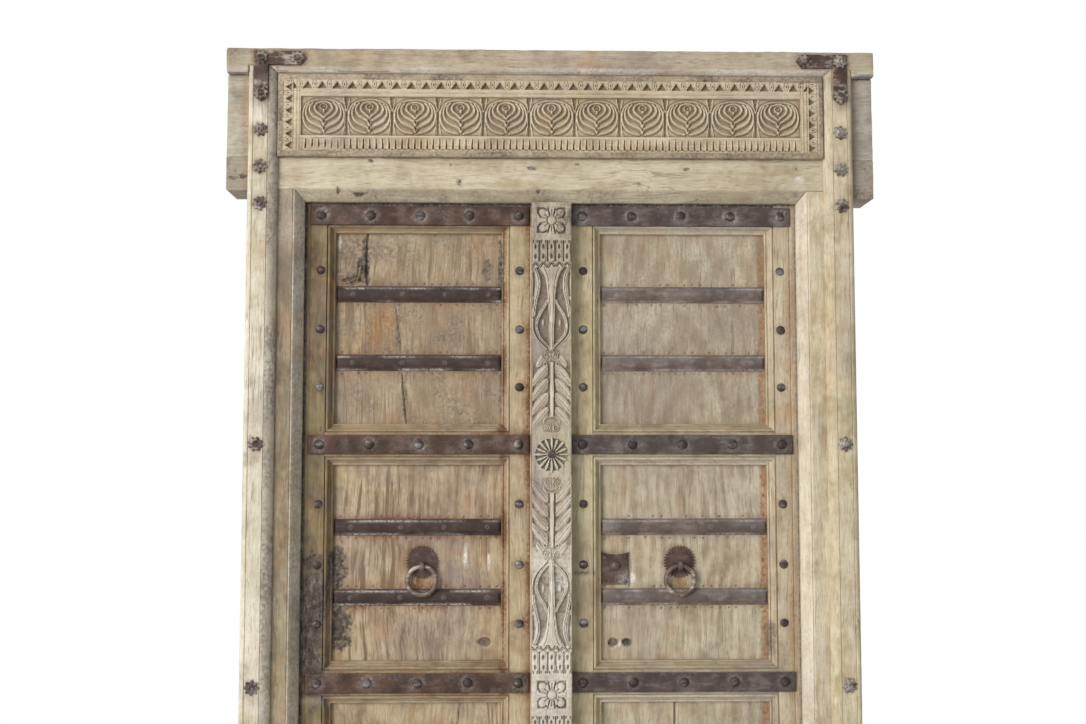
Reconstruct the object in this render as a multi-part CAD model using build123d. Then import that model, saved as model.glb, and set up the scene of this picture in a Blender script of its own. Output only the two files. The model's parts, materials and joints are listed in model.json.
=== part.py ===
from build123d import *
import math
import os

# Carved double door of weathered hardwood in its frame, with iron straps, studs and ring pulls.
# Millimetres. X runs to the right, Y to the back, Z up; the origin is on the floor under the
# middle of the frame.

# Doorway
OPENING_WIDTH = 1020.0
THRESHOLD_HEIGHT = 54.0
LIP_HEIGHT = 22.0
REBATE_WIDTH = 22.0

# Panels and the rails between them
PANEL_COUNT = 4
PANEL_PITCH = 482.0
RAIL_FACE = 85.0
BOTTOM_RAIL_FACE = 78.0
TOP_RAIL_FACE = 61.0
HANGING_FACE = 63.0
MEETING_FACE = 58.0
MOULDING_WIDTH = 18.0
MOULDING_QUIRK = 2.0
MOULDING_CROWN_SHARES = (0.45, 0.25)
FIELD_RECESS = 20.0
FIELD_EDGE = 2.0
TENON_THICK = 14.0
TENON_LENGTH = 26.0

# Clearances
LEAF_GAP = 4.0
HEEL_GAP = 3.0
PARTING_GAP = 1.0
LIP_CLEARANCE = 2.0
RUNNING_GAP = 0.06
SEAT_GAP = 0.3
END_GAP = 1.0

# Depths, from the front
FACING_THICK = 18.0
JAMB_DEPTH = 98.0
LIP_SETBACK = 22.0
LIP_THICK = 10.0
LEAF_THICK = 42.0

# Jambs, facings and beams
CHAMFER_WIDTH = 18.0
JAMB_FLAT = 34.0
FACING_WIDTH = 60.0
FACING_BEAD = 18.0
BEAD_DROP = 13.0
BEAD_CROWN = 3.0
OUTER_BEAD = 10.0
OUTER_DROP = 7.0
OUTER_CROWN = 2.0
QUIRK = 2.0
EAR_LENGTH = 46.0
EAR_DROPS = {"left": 3.0, "right": 16.0}
EAR_HOUSING = 6.0
EAR_BEVEL = 2.5
SOFFIT_FACE = 66.0
HEAD_BEAD = 15.0
HEAD_FLAT = 37.0

# Pivots of the leaves
PIVOT_RADIUS = 14.0
PIVOT_LENGTH = 30.0
HEEL_GROOVE_WIDTH = 4.0
HEEL_GROOVE_OFFSET = 12.0

# Carved frieze
FRIEZE_THICK = 14.0
FRIEZE_CUT = 8.0
FRIEZE_FILLET = 13.0
ZIGZAG_HEIGHT = 18.0
ZIGZAG_PITCH = 30.5
ZIGZAG_WIDTH = 24.0
ZIGZAG_GAP = 8.0
STRIP_WIDTH = 7.5
MEDALLION_FIELD = 81.0
MEDALLION_COUNT = 11
MEDALLION_WIDTH = 84.0
MEDALLION_HEIGHT = 76.0
MEDALLION_STEPS = 9
MEDALLION_RIDGE_SHARES = (0.7, 0.48)
MEDALLION_WALL_SHARE = 0.85
TONGUE_HEIGHT = 24.0
TONGUE_PITCH = 28.5
TONGUE_WIDTH = 12.0
CHIP_DEPTH = 5.0
STEM_WIDTH = 7.0
STEM_HEAD = 15.0

# Carved centre bar
BAR_WIDTH = 82.0
BAR_SETBACK = 3.0
BAR_GROUND = 22.0
BAR_RELIEF = 8.0
BAR_END_GAP = 2.0
BLOCK_DROP = 39.0
BLOCK_HEIGHT = 71.0
BLOCK_BORDER = 11.0
BLOCK_PETALS = 4
BLOCK_STAR_SHARE = 0.3
LATTICE_HEIGHT = 54.0
LATTICE_SLOTS = 2
LATTICE_BAR = 8.0
LYRE_START = 94.0
LYRE_LENGTH = 168.0
LYRE_SHARES = ((0.0, 1.0), (0.09, 0.55), (0.3, 0.22), (0.56, 0.46), (0.72, 0.62), (0.9, 0.34), (1.0, 0.1))
LYRE_BULB_SHARES = ((0.48, 0.12), (0.62, 0.36), (0.73, 0.44), (0.87, 0.12))
WING_SHARES = ((0.06, 1.0), (0.3, 0.5), (0.42, 0.8), (0.6, 0.94), (0.42, 1.0), (0.26, 0.84))
LEAF_START = 284.0
LEAF_RUN = 128.0
LEAF_PAIRS = 4
LEAF_STEM = 11.0
LEAF_DROOP = 34.0
LEAF_BLADE = 20.0
LEAF_SPACE = 5.0
SCROLL_RADIUS = 8.0
SCROLL_PLACE = 426.0
SCROLL_OFFSET = 10.0
SCROLL_SIDES = 6
CARVED_FLOWER_RADIUS = 38.0
CARVED_FLOWER_PETALS = 16
CARVED_FLOWER_NOTCH_SHARE = 0.62
BAR_NAIL_RADIUS = 9.0

# Iron straps and nails on the leaves
STRAP_WIDTH = 40.0
STRAP_THICK = 5.0
STRAP_HEEL_GAP = 12.0
TOP_STRAP_SHARE = 0.57
STRAP_NAILS = 5
STRAP_NAIL_INSET = 22.0
STRAP_NAIL_RADIUS = 11.0
STRAP_NAIL_HEIGHT = 9.0
PANEL_STRAP_WIDTH = 34.0
PANEL_STRAP_THICK = 5.0
PANEL_STRAP_SHARES = (0.32, 0.68)
STUD_SHARES = (0.2, 0.51, 0.81)
STUD_RADIUS = 10.0
STUD_HEIGHT = 8.0
HANGING_STUD_INSET = 33.0
MEETING_STUD_INSET = 21.0
NAIL_SIDES = 5
NAIL_TAPER = 30.0

# Ring pulls
PULL_ROW = 1
PULL_INSET = 162.0
PLATE_RADIUS = 34.5
PLATE_THICK = 3.0
PLATE_TEETH = 16
PLATE_NOTCH = 5.0
RING_RADIUS = 29.0
RING_WIRE = 4.0
RING_STEPS = 18
RING_FLATS = 6
RING_DROP = 8.0
RING_STANDOFF = 10.0
STAPLE_WIDTH = 9.0
STAPLE_INNER = 5.6
STAPLE_THICK = 4.0
STAPLE_STEPS = 8

# Lock plate
LOCK_WIDTH = 56.0
LOCK_HEIGHT = 66.0
LOCK_THICK = 3.0
LOCK_HOLLOW = 5.0
LOCK_TOP_SHARE = 0.45
LOCK_BOSS_RADIUS = 10.0
LOCK_BOSS_HEIGHT = 4.0
LOCK_BOSS_SIDES = 8
LOCK_BOSS_SHARES = (0.48, 0.6)
KEYHOLE_WIDTH = 5.0
KEYHOLE_HEIGHT = 12.0

# Corner irons and flower-headed nails of the frame
IRON_ARM = 106.0
IRON_WIDTH = 29.0
IRON_POINT = 12.0
IRON_THICK = 4.0
IRON_MARGIN = 7.0
ROSETTE_RADIUS = 14.5
ROSETTE_PETALS = 6
ROSETTE_NOTCH_SHARE = 0.72
ROSETTE_HEIGHT = 8.0
ROSETTE_CROWN_SHARE = 0.55
ROSETTE_PITCH = 76.0
ROSETTE_RUN = 3

# Planes across the depth
FRONT_Y = -(FACING_THICK + JAMB_DEPTH) / 2
JAMB_FRONT_Y = FRONT_Y + FACING_THICK
BACK_Y = JAMB_FRONT_Y + JAMB_DEPTH
LIP_FRONT_Y = JAMB_FRONT_Y + LIP_SETBACK
LIP_BACK_Y = LIP_FRONT_Y + LIP_THICK
LEAF_FRONT_Y = LIP_BACK_Y + LIP_CLEARANCE
LEAF_BACK_Y = LEAF_FRONT_Y + LEAF_THICK
PANEL_FRONT_Y = LEAF_FRONT_Y + FIELD_RECESS
FRIEZE_FRONT_Y = JAMB_FRONT_Y - FRIEZE_THICK
STRAP_FRONT_Y = LEAF_FRONT_Y - STRAP_THICK
BAR_GROUND_Y = LEAF_FRONT_Y - BAR_GROUND
BAR_FRONT_Y = BAR_GROUND_Y - BAR_RELIEF

# Lines across the width
LIP_X = OPENING_WIDTH / 2
CHAMFER_X = LIP_X + CHAMFER_WIDTH
REBATE_X = LIP_X + REBATE_WIDTH
FACING_X = CHAMFER_X + JAMB_FLAT
BEAD_X = FACING_X + FACING_BEAD
JAMB_X = FACING_X + FACING_WIDTH
EAR_X = JAMB_X + EAR_LENGTH
FLAT_X = (BEAD_X + JAMB_X - OUTER_BEAD) / 2
HEEL_RADIUS = LEAF_THICK / 2
PIVOT_X = REBATE_X - HEEL_GAP - HEEL_RADIUS
PIVOT_Y = LEAF_FRONT_Y + HEEL_RADIUS
BAR_X = BAR_WIDTH / 2
MEETING_X = {"left": BAR_X + BAR_SETBACK + PARTING_GAP, "right": -BAR_X - BAR_SETBACK}
FIELD_OUT_X = LIP_X - HANGING_FACE
FIELD_IN_X = MEETING_X["left"] + MEETING_FACE
CORE_OUT_X = FIELD_OUT_X + MOULDING_WIDTH
CORE_IN_X = FIELD_IN_X - MOULDING_WIDTH

# Levels
LEAF_BOTTOM_Z = THRESHOLD_HEIGHT + LEAF_GAP
FIELD_HEIGHT = PANEL_PITCH - RAIL_FACE
FIELD_BOTTOMS = [LEAF_BOTTOM_Z + BOTTOM_RAIL_FACE + row * PANEL_PITCH for row in range(PANEL_COUNT)]
FIELD_TOPS = [bottom + FIELD_HEIGHT for bottom in FIELD_BOTTOMS]
LIP_Z = FIELD_TOPS[-1] + TOP_RAIL_FACE
CEILING_Z = LIP_Z + LIP_HEIGHT
LEAF_TOP_Z = CEILING_Z - LEAF_GAP
SOFFIT_TOP_Z = CEILING_Z + SOFFIT_FACE
TONGUE_TOP_Z = SOFFIT_TOP_Z + FRIEZE_FILLET + TONGUE_HEIGHT
MEDALLION_BOTTOM_Z = TONGUE_TOP_Z + STRIP_WIDTH
MEDALLION_TOP_Z = MEDALLION_BOTTOM_Z + MEDALLION_FIELD
ZIGZAG_BOTTOM_Z = MEDALLION_TOP_Z + STRIP_WIDTH + ZIGZAG_GAP
LINTEL_TOP_Z = ZIGZAG_BOTTOM_Z + ZIGZAG_HEIGHT + FRIEZE_FILLET
HEAD_FLAT_Z = LINTEL_TOP_Z + HEAD_BEAD
TOP_Z = HEAD_FLAT_Z + HEAD_FLAT
RAIL_STRAPS_Z = [bottom - RAIL_FACE / 2 for bottom in FIELD_BOTTOMS]
RAIL_STRAPS_Z.append(FIELD_TOPS[-1] + TOP_RAIL_FACE * TOP_STRAP_SHARE)

RAIL_NAMES = ("bottom_rail", "lower_rail", "middle_rail", "upper_rail", "top_rail")
MIDDLE_OUT = (Align.CENTER, Align.CENTER, Align.MIN)


# Shapes that several pieces share
def slab(x0, x1, y0, y1, z0, z1):
    """A rectangular piece between two opposite corners."""
    return Pos(x0, y0, z0) * Box(x1 - x0, y1 - y0, z1 - z0, align=Align.MIN)


def outline(points):
    return make_face(Polyline(*points, close=True))


def seen_from_front(shape, front, back):
    """An outline in X and Z, given its depth between two planes across Y."""
    return extrude(Plane.XZ.offset(-back) * shape, back - front)


def seen_from_end(points, x0, x1):
    """A section in Y and Z, run along X."""
    return Pos(x0, 0, 0) * extrude(Plane.YZ * outline(points), x1 - x0)


def seen_from_above(points, z0, z1):
    """A section in X and Y, raised along Z."""
    return Pos(0, 0, z0) * extrude(outline(points), z1 - z0)


def star_points(radius, notch_share, petals, turn=0.0):
    """A flower's corners: a tip on every petal and a notch between two petals."""
    step = math.pi / petals
    reach = (radius, radius * notch_share)
    spokes = [(reach[i % 2], turn + i * step) for i in range(2 * petals)]
    return [(r * math.cos(a), r * math.sin(a)) for r, a in spokes]


def star(radius, notch_share, petals, turn=0.0):
    return outline(star_points(radius, notch_share, petals, turn))


def facet(points):
    return Face(Wire.make_polygon(points, close=True))


def band(first, second):
    """The flat facets between two loops of points."""
    count = len(first)
    corners = [(i, (i + 1) % count) for i in range(count)]
    return [facet([first[i], first[j], second[j], second[i]]) for i, j in corners]


def forward_at(x, y, z):
    """A place on a plane across Y, where the piece stands out to the front."""
    return Pos(x, y, z) * Rot(90, 0, 0)


def nail(radius, height):
    """A forged nail head with a few flat facets."""
    return extrude(RegularPolygon(radius, NAIL_SIDES), height, taper=NAIL_TAPER)


def handed(shape, hand):
    """The right-hand piece as it is, or its mirror image for the left."""
    return mirror(shape, about=Plane.YZ) if hand == "left" else shape


def save(shape, name):
    export_step(shape, f"parts/{name}.step")


def save_group(solids, name):
    save(Compound(solids), name)


# Frame
def lip_mitre():
    """The part of the doorway's edge that belongs to the soffit, cut by the mitres."""
    corners = [(-LIP_X, LIP_Z), (LIP_X, LIP_Z), (CHAMFER_X, CEILING_Z), (-CHAMFER_X, CEILING_Z)]
    return seen_from_front(outline(corners), JAMB_FRONT_Y, LIP_BACK_Y)


def head_mitre():
    """The part of the moulded border that belongs to the head, cut by the mitres."""
    corners = [
        (-FACING_X, LINTEL_TOP_Z),
        (FACING_X, LINTEL_TOP_Z),
        (BEAD_X, HEAD_FLAT_Z),
        (-BEAD_X, HEAD_FLAT_Z),
    ]
    return seen_from_front(outline(corners), FRONT_Y, JAMB_FRONT_Y)


def pivot(z0, z1, clearance):
    """The round peg of a right-hand stile, or with a clearance the socket it turns in."""
    peg = Cylinder(PIVOT_RADIUS + clearance, z1 - z0, align=MIDDLE_OUT)
    return Pos(PIVOT_X, PIVOT_Y, z0) * peg


def pivot_sockets(z0, z1):
    socket = pivot(z0, z1, RUNNING_GAP)
    return [socket, mirror(socket, about=Plane.YZ)]


def make_head_rail():
    rail = slab(-EAR_X, EAR_X, FRONT_Y, BACK_Y, HEAD_FLAT_Z, TOP_Z)
    rail += slab(-EAR_X, EAR_X, JAMB_FRONT_Y, BACK_Y, LINTEL_TOP_Z, HEAD_FLAT_Z)
    for ear_x in (-EAR_X, JAMB_X):
        rail += slab(ear_x, ear_x + EAR_LENGTH, FRONT_Y, JAMB_FRONT_Y, LINTEL_TOP_Z, HEAD_FLAT_Z)
    low = (FRONT_Y + BEAD_DROP, LINTEL_TOP_Z)
    high = (FRONT_Y, HEAD_FLAT_Z)
    back = [high, (JAMB_FRONT_Y, HEAD_FLAT_Z), (JAMB_FRONT_Y, LINTEL_TOP_Z), low]
    section = make_face([SagittaArc(low, high, BEAD_CROWN), Polyline(*back)])
    bead = Pos(-BEAD_X, 0, 0) * extrude(Plane.YZ * section, 2 * BEAD_X)
    return rail + (bead & head_mitre())


def soffit_end(hand):
    """The outline of the soffit beam's right half, with an ear let into the jamb's head."""
    ear_z = CEILING_Z - EAR_DROPS[hand]
    return [
        (JAMB_X - EAR_HOUSING, CEILING_Z),
        (JAMB_X - EAR_HOUSING, ear_z),
        (EAR_X - EAR_BEVEL, ear_z),
        (EAR_X, ear_z + EAR_BEVEL),
        (EAR_X, SOFFIT_TOP_Z),
    ]


def make_soffit_beam():
    left_end = [(-x, z) for x, z in reversed(soffit_end("left"))]
    lip = [
        (JAMB_FRONT_Y, CEILING_Z),
        (LIP_FRONT_Y, LIP_Z),
        (LIP_BACK_Y, LIP_Z),
        (LIP_BACK_Y, CEILING_Z),
    ]
    beam = seen_from_front(outline(soffit_end("right") + left_end), JAMB_FRONT_Y, BACK_Y)
    beam += seen_from_end(lip, -CHAMFER_X, CHAMFER_X) & lip_mitre()
    return beam - pivot_sockets(CEILING_Z, CEILING_Z + PIVOT_LENGTH + SEAT_GAP)


def make_jamb(hand):
    quirk_x = CHAMFER_X + QUIRK
    section = [
        (LIP_X, LIP_FRONT_Y),
        (CHAMFER_X, JAMB_FRONT_Y),
        (quirk_x, JAMB_FRONT_Y + QUIRK),
        (quirk_x + QUIRK, JAMB_FRONT_Y),
        (JAMB_X, JAMB_FRONT_Y),
        (JAMB_X, BACK_Y),
        (REBATE_X, BACK_Y),
        (REBATE_X, LIP_BACK_Y),
        (LIP_X, LIP_BACK_Y),
    ]
    jamb = seen_from_above(section, 0, CEILING_Z) - lip_mitre()
    ear_z = CEILING_Z - EAR_DROPS[hand]
    return jamb - slab(JAMB_X - EAR_HOUSING, JAMB_X, JAMB_FRONT_Y, BACK_Y, ear_z, CEILING_Z)


def make_facing():
    low = (FACING_X, FRONT_Y + BEAD_DROP)
    high = (BEAD_X, FRONT_Y)
    outer_x = JAMB_X - OUTER_BEAD
    flat = [
        high,
        (BEAD_X + QUIRK / 2, FRONT_Y + QUIRK),
        (BEAD_X + QUIRK, FRONT_Y),
        (outer_x - QUIRK, FRONT_Y),
        (outer_x - QUIRK / 2, FRONT_Y + QUIRK),
        (outer_x, FRONT_Y),
    ]
    edge = (JAMB_X, FRONT_Y + OUTER_DROP)
    back = [edge, (JAMB_X, JAMB_FRONT_Y), (FACING_X, JAMB_FRONT_Y), low]
    bead = SagittaArc(low, high, -BEAD_CROWN)
    nosing = SagittaArc(flat[-1], edge, -OUTER_CROWN)
    section = make_face([bead, Polyline(*flat), nosing, Polyline(*back)])
    return extrude(section, HEAD_FLAT_Z) - head_mitre()


def make_threshold():
    sill = slab(-REBATE_X, REBATE_X, LIP_BACK_Y, BACK_Y, 0, THRESHOLD_HEIGHT)
    sill += slab(-LIP_X, LIP_X, LIP_FRONT_Y, LIP_BACK_Y, 0, THRESHOLD_HEIGHT)
    socket_z = THRESHOLD_HEIGHT - PIVOT_LENGTH - SEAT_GAP
    return sill - pivot_sockets(socket_z, THRESHOLD_HEIGHT)


def make_corner_iron():
    """A flat L with pointed ends, across the corner of facing and head."""
    outer_x = FLAT_X + IRON_WIDTH / 2
    inner_x = outer_x - IRON_WIDTH
    top_z = TOP_Z - IRON_MARGIN
    under_z = top_z - IRON_WIDTH
    corners = [
        (outer_x, top_z),
        (outer_x - IRON_ARM + IRON_POINT, top_z),
        (outer_x - IRON_ARM, (top_z + under_z) / 2),
        (outer_x - IRON_ARM + IRON_POINT, under_z),
        (inner_x, under_z),
        (inner_x, top_z - IRON_ARM + IRON_POINT),
        (FLAT_X, top_z - IRON_ARM),
        (outer_x, top_z - IRON_ARM + IRON_POINT),
    ]
    return seen_from_front(outline(corners), FRONT_Y - IRON_THICK, FRONT_Y)


def make_rosettes():
    """The flower-headed nails: three on each corner iron, the others down the facings."""
    rim = star_points(ROSETTE_RADIUS, ROSETTE_NOTCH_SHARE, ROSETTE_PETALS)
    foot = [(x, y, 0) for x, y in rim]
    crown = [(x * ROSETTE_CROWN_SHARE, y * ROSETTE_CROWN_SHARE, ROSETTE_HEIGHT) for x, y in rim]
    head = Solid(Shell(band(foot, crown) + [facet(foot), facet(crown)]))
    iron_z = TOP_Z - IRON_MARGIN - IRON_WIDTH / 2
    arm = IRON_ARM - IRON_WIDTH / 2 - IRON_POINT - IRON_POINT / 2
    iron_y = FRONT_Y - IRON_THICK
    arm_z = iron_z - arm
    places = [(FLAT_X, iron_y, iron_z), (FLAT_X - arm, iron_y, iron_z), (FLAT_X, iron_y, arm_z)]
    places += [(FLAT_X, FRONT_Y, arm_z - step * ROSETTE_PITCH) for step in range(1, ROSETTE_RUN + 1)]
    places += [(FLAT_X, FRONT_Y, z) for z in RAIL_STRAPS_Z[:-1]]
    return [forward_at(side * x, y, z) * head for side in (-1, 1) for x, y, z in places]


# Carved frieze
def chip(x, z, width, height, turn=0.0):
    """A three-sided chip cut into the front of the frieze, its point upwards before turning."""
    corners = [(-width / 2, -height / 2), (width / 2, -height / 2), (0, height / 2)]
    mouth = Plane.XZ.offset(-FRIEZE_FRONT_Y) * Pos(x, z) * Rot(0, 0, turn) * outline(corners)
    return loft([mouth, Vertex(x, FRIEZE_FRONT_Y + CHIP_DEPTH, z)])


def evenly(start, end, pitch):
    """Places at about the given pitch, each in the middle of its own share of the run."""
    count = max(1, round((end - start) / pitch))
    return [start + (i + 0.5) * (end - start) / count for i in range(count)]


def drop(width, height, pointed):
    """A round or drop-shaped outline with its point downwards, about its own middle."""
    points = []
    for i in range(MEDALLION_STEPS):
        angle = 2 * math.pi * i / MEDALLION_STEPS
        pinch = abs(math.sin(angle / 2)) if pointed else 1.0
        points.append((width / 2 * math.sin(angle) * pinch, -height / 2 * math.cos(angle)))
    return outline(points)


def medallion():
    """A round border and nested drops that share the border's upper end."""
    widths = [share * MEDALLION_WIDTH for share in (1.0, MEDALLION_WALL_SHARE)]
    heights = [share * MEDALLION_HEIGHT for share in (1.0, MEDALLION_WALL_SHARE)]
    relief = drop(widths[0], heights[0], False) - drop(widths[1], heights[1], False)
    hang_z = MEDALLION_HEIGHT / 2 * MEDALLION_WALL_SHARE * MEDALLION_WALL_SHARE
    for level, share in enumerate(MEDALLION_RIDGE_SHARES):
        height = share * MEDALLION_HEIGHT
        ridge = Pos(0, hang_z - height / 2) * drop(share * MEDALLION_WIDTH, height, True)
        relief = relief + ridge if level % 2 == 0 else relief - ridge
    return relief


def stem(height):
    """The Y-shaped stalk between two medallions."""
    half = STEM_WIDTH / 2
    head_z = height / 2 - STEM_HEAD
    right = [(half, -height / 2), (half / 2, head_z), (STEM_HEAD / 2, height / 2)]
    right.append((STEM_HEAD / 2 - half, height / 2))
    left = [(-x, z) for x, z in reversed(right)]
    return outline(right + [(0, head_z + STEM_HEAD / 2)] + left)


def make_frieze_board():
    board = slab(-FACING_X, FACING_X, FRIEZE_FRONT_Y, JAMB_FRONT_Y, SOFFIT_TOP_Z, LINTEL_TOP_Z)
    side_x = FACING_X - FRIEZE_FILLET - ZIGZAG_HEIGHT
    field_x = side_x - ZIGZAG_GAP - STRIP_WIDTH
    floor_y = FRIEZE_FRONT_Y + FRIEZE_CUT
    board -= slab(-field_x, field_x, FRIEZE_FRONT_Y, floor_y, MEDALLION_BOTTOM_Z, MEDALLION_TOP_Z)
    middle_z = (MEDALLION_BOTTOM_Z + MEDALLION_TOP_Z) / 2
    pitch = 2 * field_x / MEDALLION_COUNT
    centres = [(i - (MEDALLION_COUNT - 1) / 2) * pitch for i in range(MEDALLION_COUNT)]
    round_one = medallion()
    stalk = stem(MEDALLION_FIELD)
    relief = [Pos(x, middle_z) * round_one for x in centres]
    relief += [Pos(x + pitch / 2, middle_z) * stalk for x in centres[:-1]]
    for shape in relief:
        board += seen_from_front(shape, FRIEZE_FRONT_Y, floor_y)
    top_z = ZIGZAG_BOTTOM_Z + ZIGZAG_HEIGHT / 2
    chips = [chip(x, top_z, ZIGZAG_WIDTH, ZIGZAG_HEIGHT) for x in evenly(-side_x, side_x, ZIGZAG_PITCH)]
    band_x = side_x + ZIGZAG_HEIGHT / 2
    for z in evenly(SOFFIT_TOP_Z + FRIEZE_FILLET, ZIGZAG_BOTTOM_Z + ZIGZAG_HEIGHT, ZIGZAG_PITCH):
        chips.append(chip(-band_x, z, ZIGZAG_WIDTH, ZIGZAG_HEIGHT, 90))
        chips.append(chip(band_x, z, ZIGZAG_WIDTH, ZIGZAG_HEIGHT, -90))
    tongue_z = TONGUE_TOP_Z - TONGUE_HEIGHT / 2
    for x in evenly(-field_x, field_x, TONGUE_PITCH):
        chips.append(chip(x, tongue_z, TONGUE_WIDTH, TONGUE_HEIGHT))
    return board - chips


# Carved centre bar, drawn from a square block towards the next round flower
def both_sides(points):
    """An outline and its mirror image beside it."""
    return outline(points) + outline([(-x, z) for x, z in points])


def along_bar(shares, start, length):
    """Shares along a motif and across half the bar, as points that run down from the block."""
    return [(across * BAR_X, -(start + along * length)) for along, across in shares]


def block_relief():
    plate = Rectangle(BAR_WIDTH, BLOCK_HEIGHT)
    sunk = Rectangle(BAR_WIDTH - 2 * BLOCK_BORDER, BLOCK_HEIGHT - 2 * BLOCK_BORDER)
    petals = star(BLOCK_HEIGHT / 2 - BLOCK_BORDER, BLOCK_STAR_SHARE, BLOCK_PETALS, math.pi / 4)
    return plate - sunk + petals


def lattice_relief():
    start = BLOCK_HEIGHT / 2
    plate = Pos(0, -start - LATTICE_HEIGHT / 2) * Rectangle(BAR_WIDTH, LATTICE_HEIGHT)
    slot_height = LATTICE_HEIGHT - 2 * LATTICE_BAR
    pitch = (BAR_WIDTH - LATTICE_BAR) / LATTICE_SLOTS
    for i in range(LATTICE_SLOTS):
        x = (i - (LATTICE_SLOTS - 1) / 2) * pitch
        plate -= Pos(x, -start - LATTICE_HEIGHT / 2) * Rectangle(pitch - LATTICE_BAR, slot_height)
    return plate


def lyre_relief():
    right = along_bar(LYRE_SHARES, LYRE_START, LYRE_LENGTH)
    left = [(-x, z) for x, z in reversed(right)]
    body = outline(right + left)
    body -= both_sides(along_bar(LYRE_BULB_SHARES, LYRE_START, LYRE_LENGTH))
    return body + both_sides(along_bar(WING_SHARES, LYRE_START, LYRE_LENGTH))


def leaf_relief():
    stalk = Pos(0, -LEAF_START - LEAF_RUN / 2) * Rectangle(LEAF_STEM, LEAF_RUN)
    pitch = (LEAF_RUN - LEAF_DROOP) / LEAF_PAIRS
    relief = stalk
    for i in range(LEAF_PAIRS):
        root = -LEAF_START - i * pitch
        blade = [
            (LEAF_STEM / 2 + LEAF_SPACE, root),
            (BAR_X, root - LEAF_DROOP),
            (BAR_X, root - LEAF_DROOP - LEAF_BLADE + LEAF_SPACE),
            (LEAF_STEM / 2 + LEAF_SPACE, root - LEAF_BLADE),
        ]
        relief += both_sides(blade)
    return relief


def scroll_relief():
    scroll = RegularPolygon(SCROLL_RADIUS, SCROLL_SIDES)
    right = Pos(SCROLL_OFFSET, -SCROLL_PLACE) * scroll
    return right + Pos(-SCROLL_OFFSET, -SCROLL_PLACE) * scroll


def bar_levels():
    """Levels of the square blocks and of the round flowers, which take turns down the bar."""
    first = LIP_Z - BLOCK_DROP
    levels = [first - row * PANEL_PITCH for row in range(PANEL_COUNT + 1)]
    return levels[0::2], levels[1::2]


def make_centre_bar():
    bottom_z = LEAF_BOTTOM_Z + BAR_END_GAP
    top_z = LIP_Z - BAR_END_GAP
    bar = slab(-BAR_X, BAR_X, BAR_GROUND_Y, LEAF_FRONT_Y, bottom_z, top_z)
    blocks, flowers = bar_levels()
    run = lattice_relief() + lyre_relief() + leaf_relief() + scroll_relief()
    upward = mirror(run, about=Plane.XZ)
    drawings = []
    for level in blocks:
        drawings.append(Pos(0, level) * block_relief())
        drawings += [Pos(0, level) * run] if level - PANEL_PITCH > 0 else []
        drawings += [Pos(0, level) * upward] if level + PANEL_PITCH < top_z else []
    petals = star(CARVED_FLOWER_RADIUS, CARVED_FLOWER_NOTCH_SHARE, CARVED_FLOWER_PETALS)
    drawings += [Pos(0, level) * petals for level in flowers]
    stock = slab(-BAR_X, BAR_X, BAR_FRONT_Y, BAR_GROUND_Y, bottom_z, top_z)
    for drawing in drawings:
        bar += seen_from_front(drawing, BAR_FRONT_Y, BAR_GROUND_Y) & stock
    return bar


# Joinery of a leaf, drawn on the right
def stile_moulding(x_flat, x_field, z0, z1):
    """The moulded edge of a stile beside one panel, mitred at both ends."""
    across = x_field - x_flat
    reach = MOULDING_WIDTH
    front_y = LEAF_FRONT_Y + MOULDING_QUIRK
    edge_y = PANEL_FRONT_Y - FIELD_EDGE
    crown_x = x_flat + across * MOULDING_CROWN_SHARES[0]
    crown_y = front_y + (edge_y - front_y) * MOULDING_CROWN_SHARES[1]
    section = [(x_flat, front_y), (crown_x, crown_y), (x_field, edge_y), (x_field, PANEL_FRONT_Y)]
    strip = seen_from_above(section + [(x_flat, PANEL_FRONT_Y)], z0 - reach, z1 + reach)
    ends = [(x_flat, z0 - reach), (x_field, z0), (x_field, z1), (x_flat, z1 + reach)]
    return strip & seen_from_front(outline(ends), front_y, PANEL_FRONT_Y)


def rail_moulding(z_flat, z_field):
    """The moulded edge of a rail beside one panel, mitred at both ends."""
    across = z_field - z_flat
    front_y = LEAF_FRONT_Y + MOULDING_QUIRK
    edge_y = PANEL_FRONT_Y - FIELD_EDGE
    crown_z = z_flat + across * MOULDING_CROWN_SHARES[0]
    crown_y = front_y + (edge_y - front_y) * MOULDING_CROWN_SHARES[1]
    section = [(front_y, z_flat), (crown_y, crown_z), (edge_y, z_field), (PANEL_FRONT_Y, z_field)]
    strip = seen_from_end(section + [(PANEL_FRONT_Y, z_flat)], CORE_IN_X, CORE_OUT_X)
    ends = [(CORE_IN_X, z_flat), (FIELD_IN_X, z_field), (FIELD_OUT_X, z_field), (CORE_OUT_X, z_flat)]
    return strip & seen_from_front(outline(ends), front_y, PANEL_FRONT_Y)


def rail_levels():
    """Bottom and top of every rail's flat, from the bottom rail to the top rail."""
    bottoms = [LEAF_BOTTOM_Z] + [top + MOULDING_WIDTH for top in FIELD_TOPS]
    tops = [bottom - MOULDING_WIDTH for bottom in FIELD_BOTTOMS] + [LEAF_TOP_Z]
    return list(zip(bottoms, tops))


def tenons(z0, z1):
    """The tongues at the two ends of a rail."""
    y0 = PIVOT_Y - TENON_THICK / 2
    y1 = PIVOT_Y + TENON_THICK / 2
    runs = [(CORE_IN_X - TENON_LENGTH, CORE_IN_X), (CORE_OUT_X, CORE_OUT_X + TENON_LENGTH)]
    return [slab(x0, x1, y0, y1, z0, z1) for x0, x1 in runs]


def make_rail(row):
    z0, z1 = rail_levels()[row]
    rail = slab(CORE_IN_X, CORE_OUT_X, LEAF_FRONT_Y, LEAF_BACK_Y, z0, z1)
    rail += tenons(z0, z1)
    if row < PANEL_COUNT:
        rail += rail_moulding(z1, FIELD_BOTTOMS[row])
    if row > 0:
        rail += rail_moulding(z0, FIELD_TOPS[row - 1])
    return rail


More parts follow.
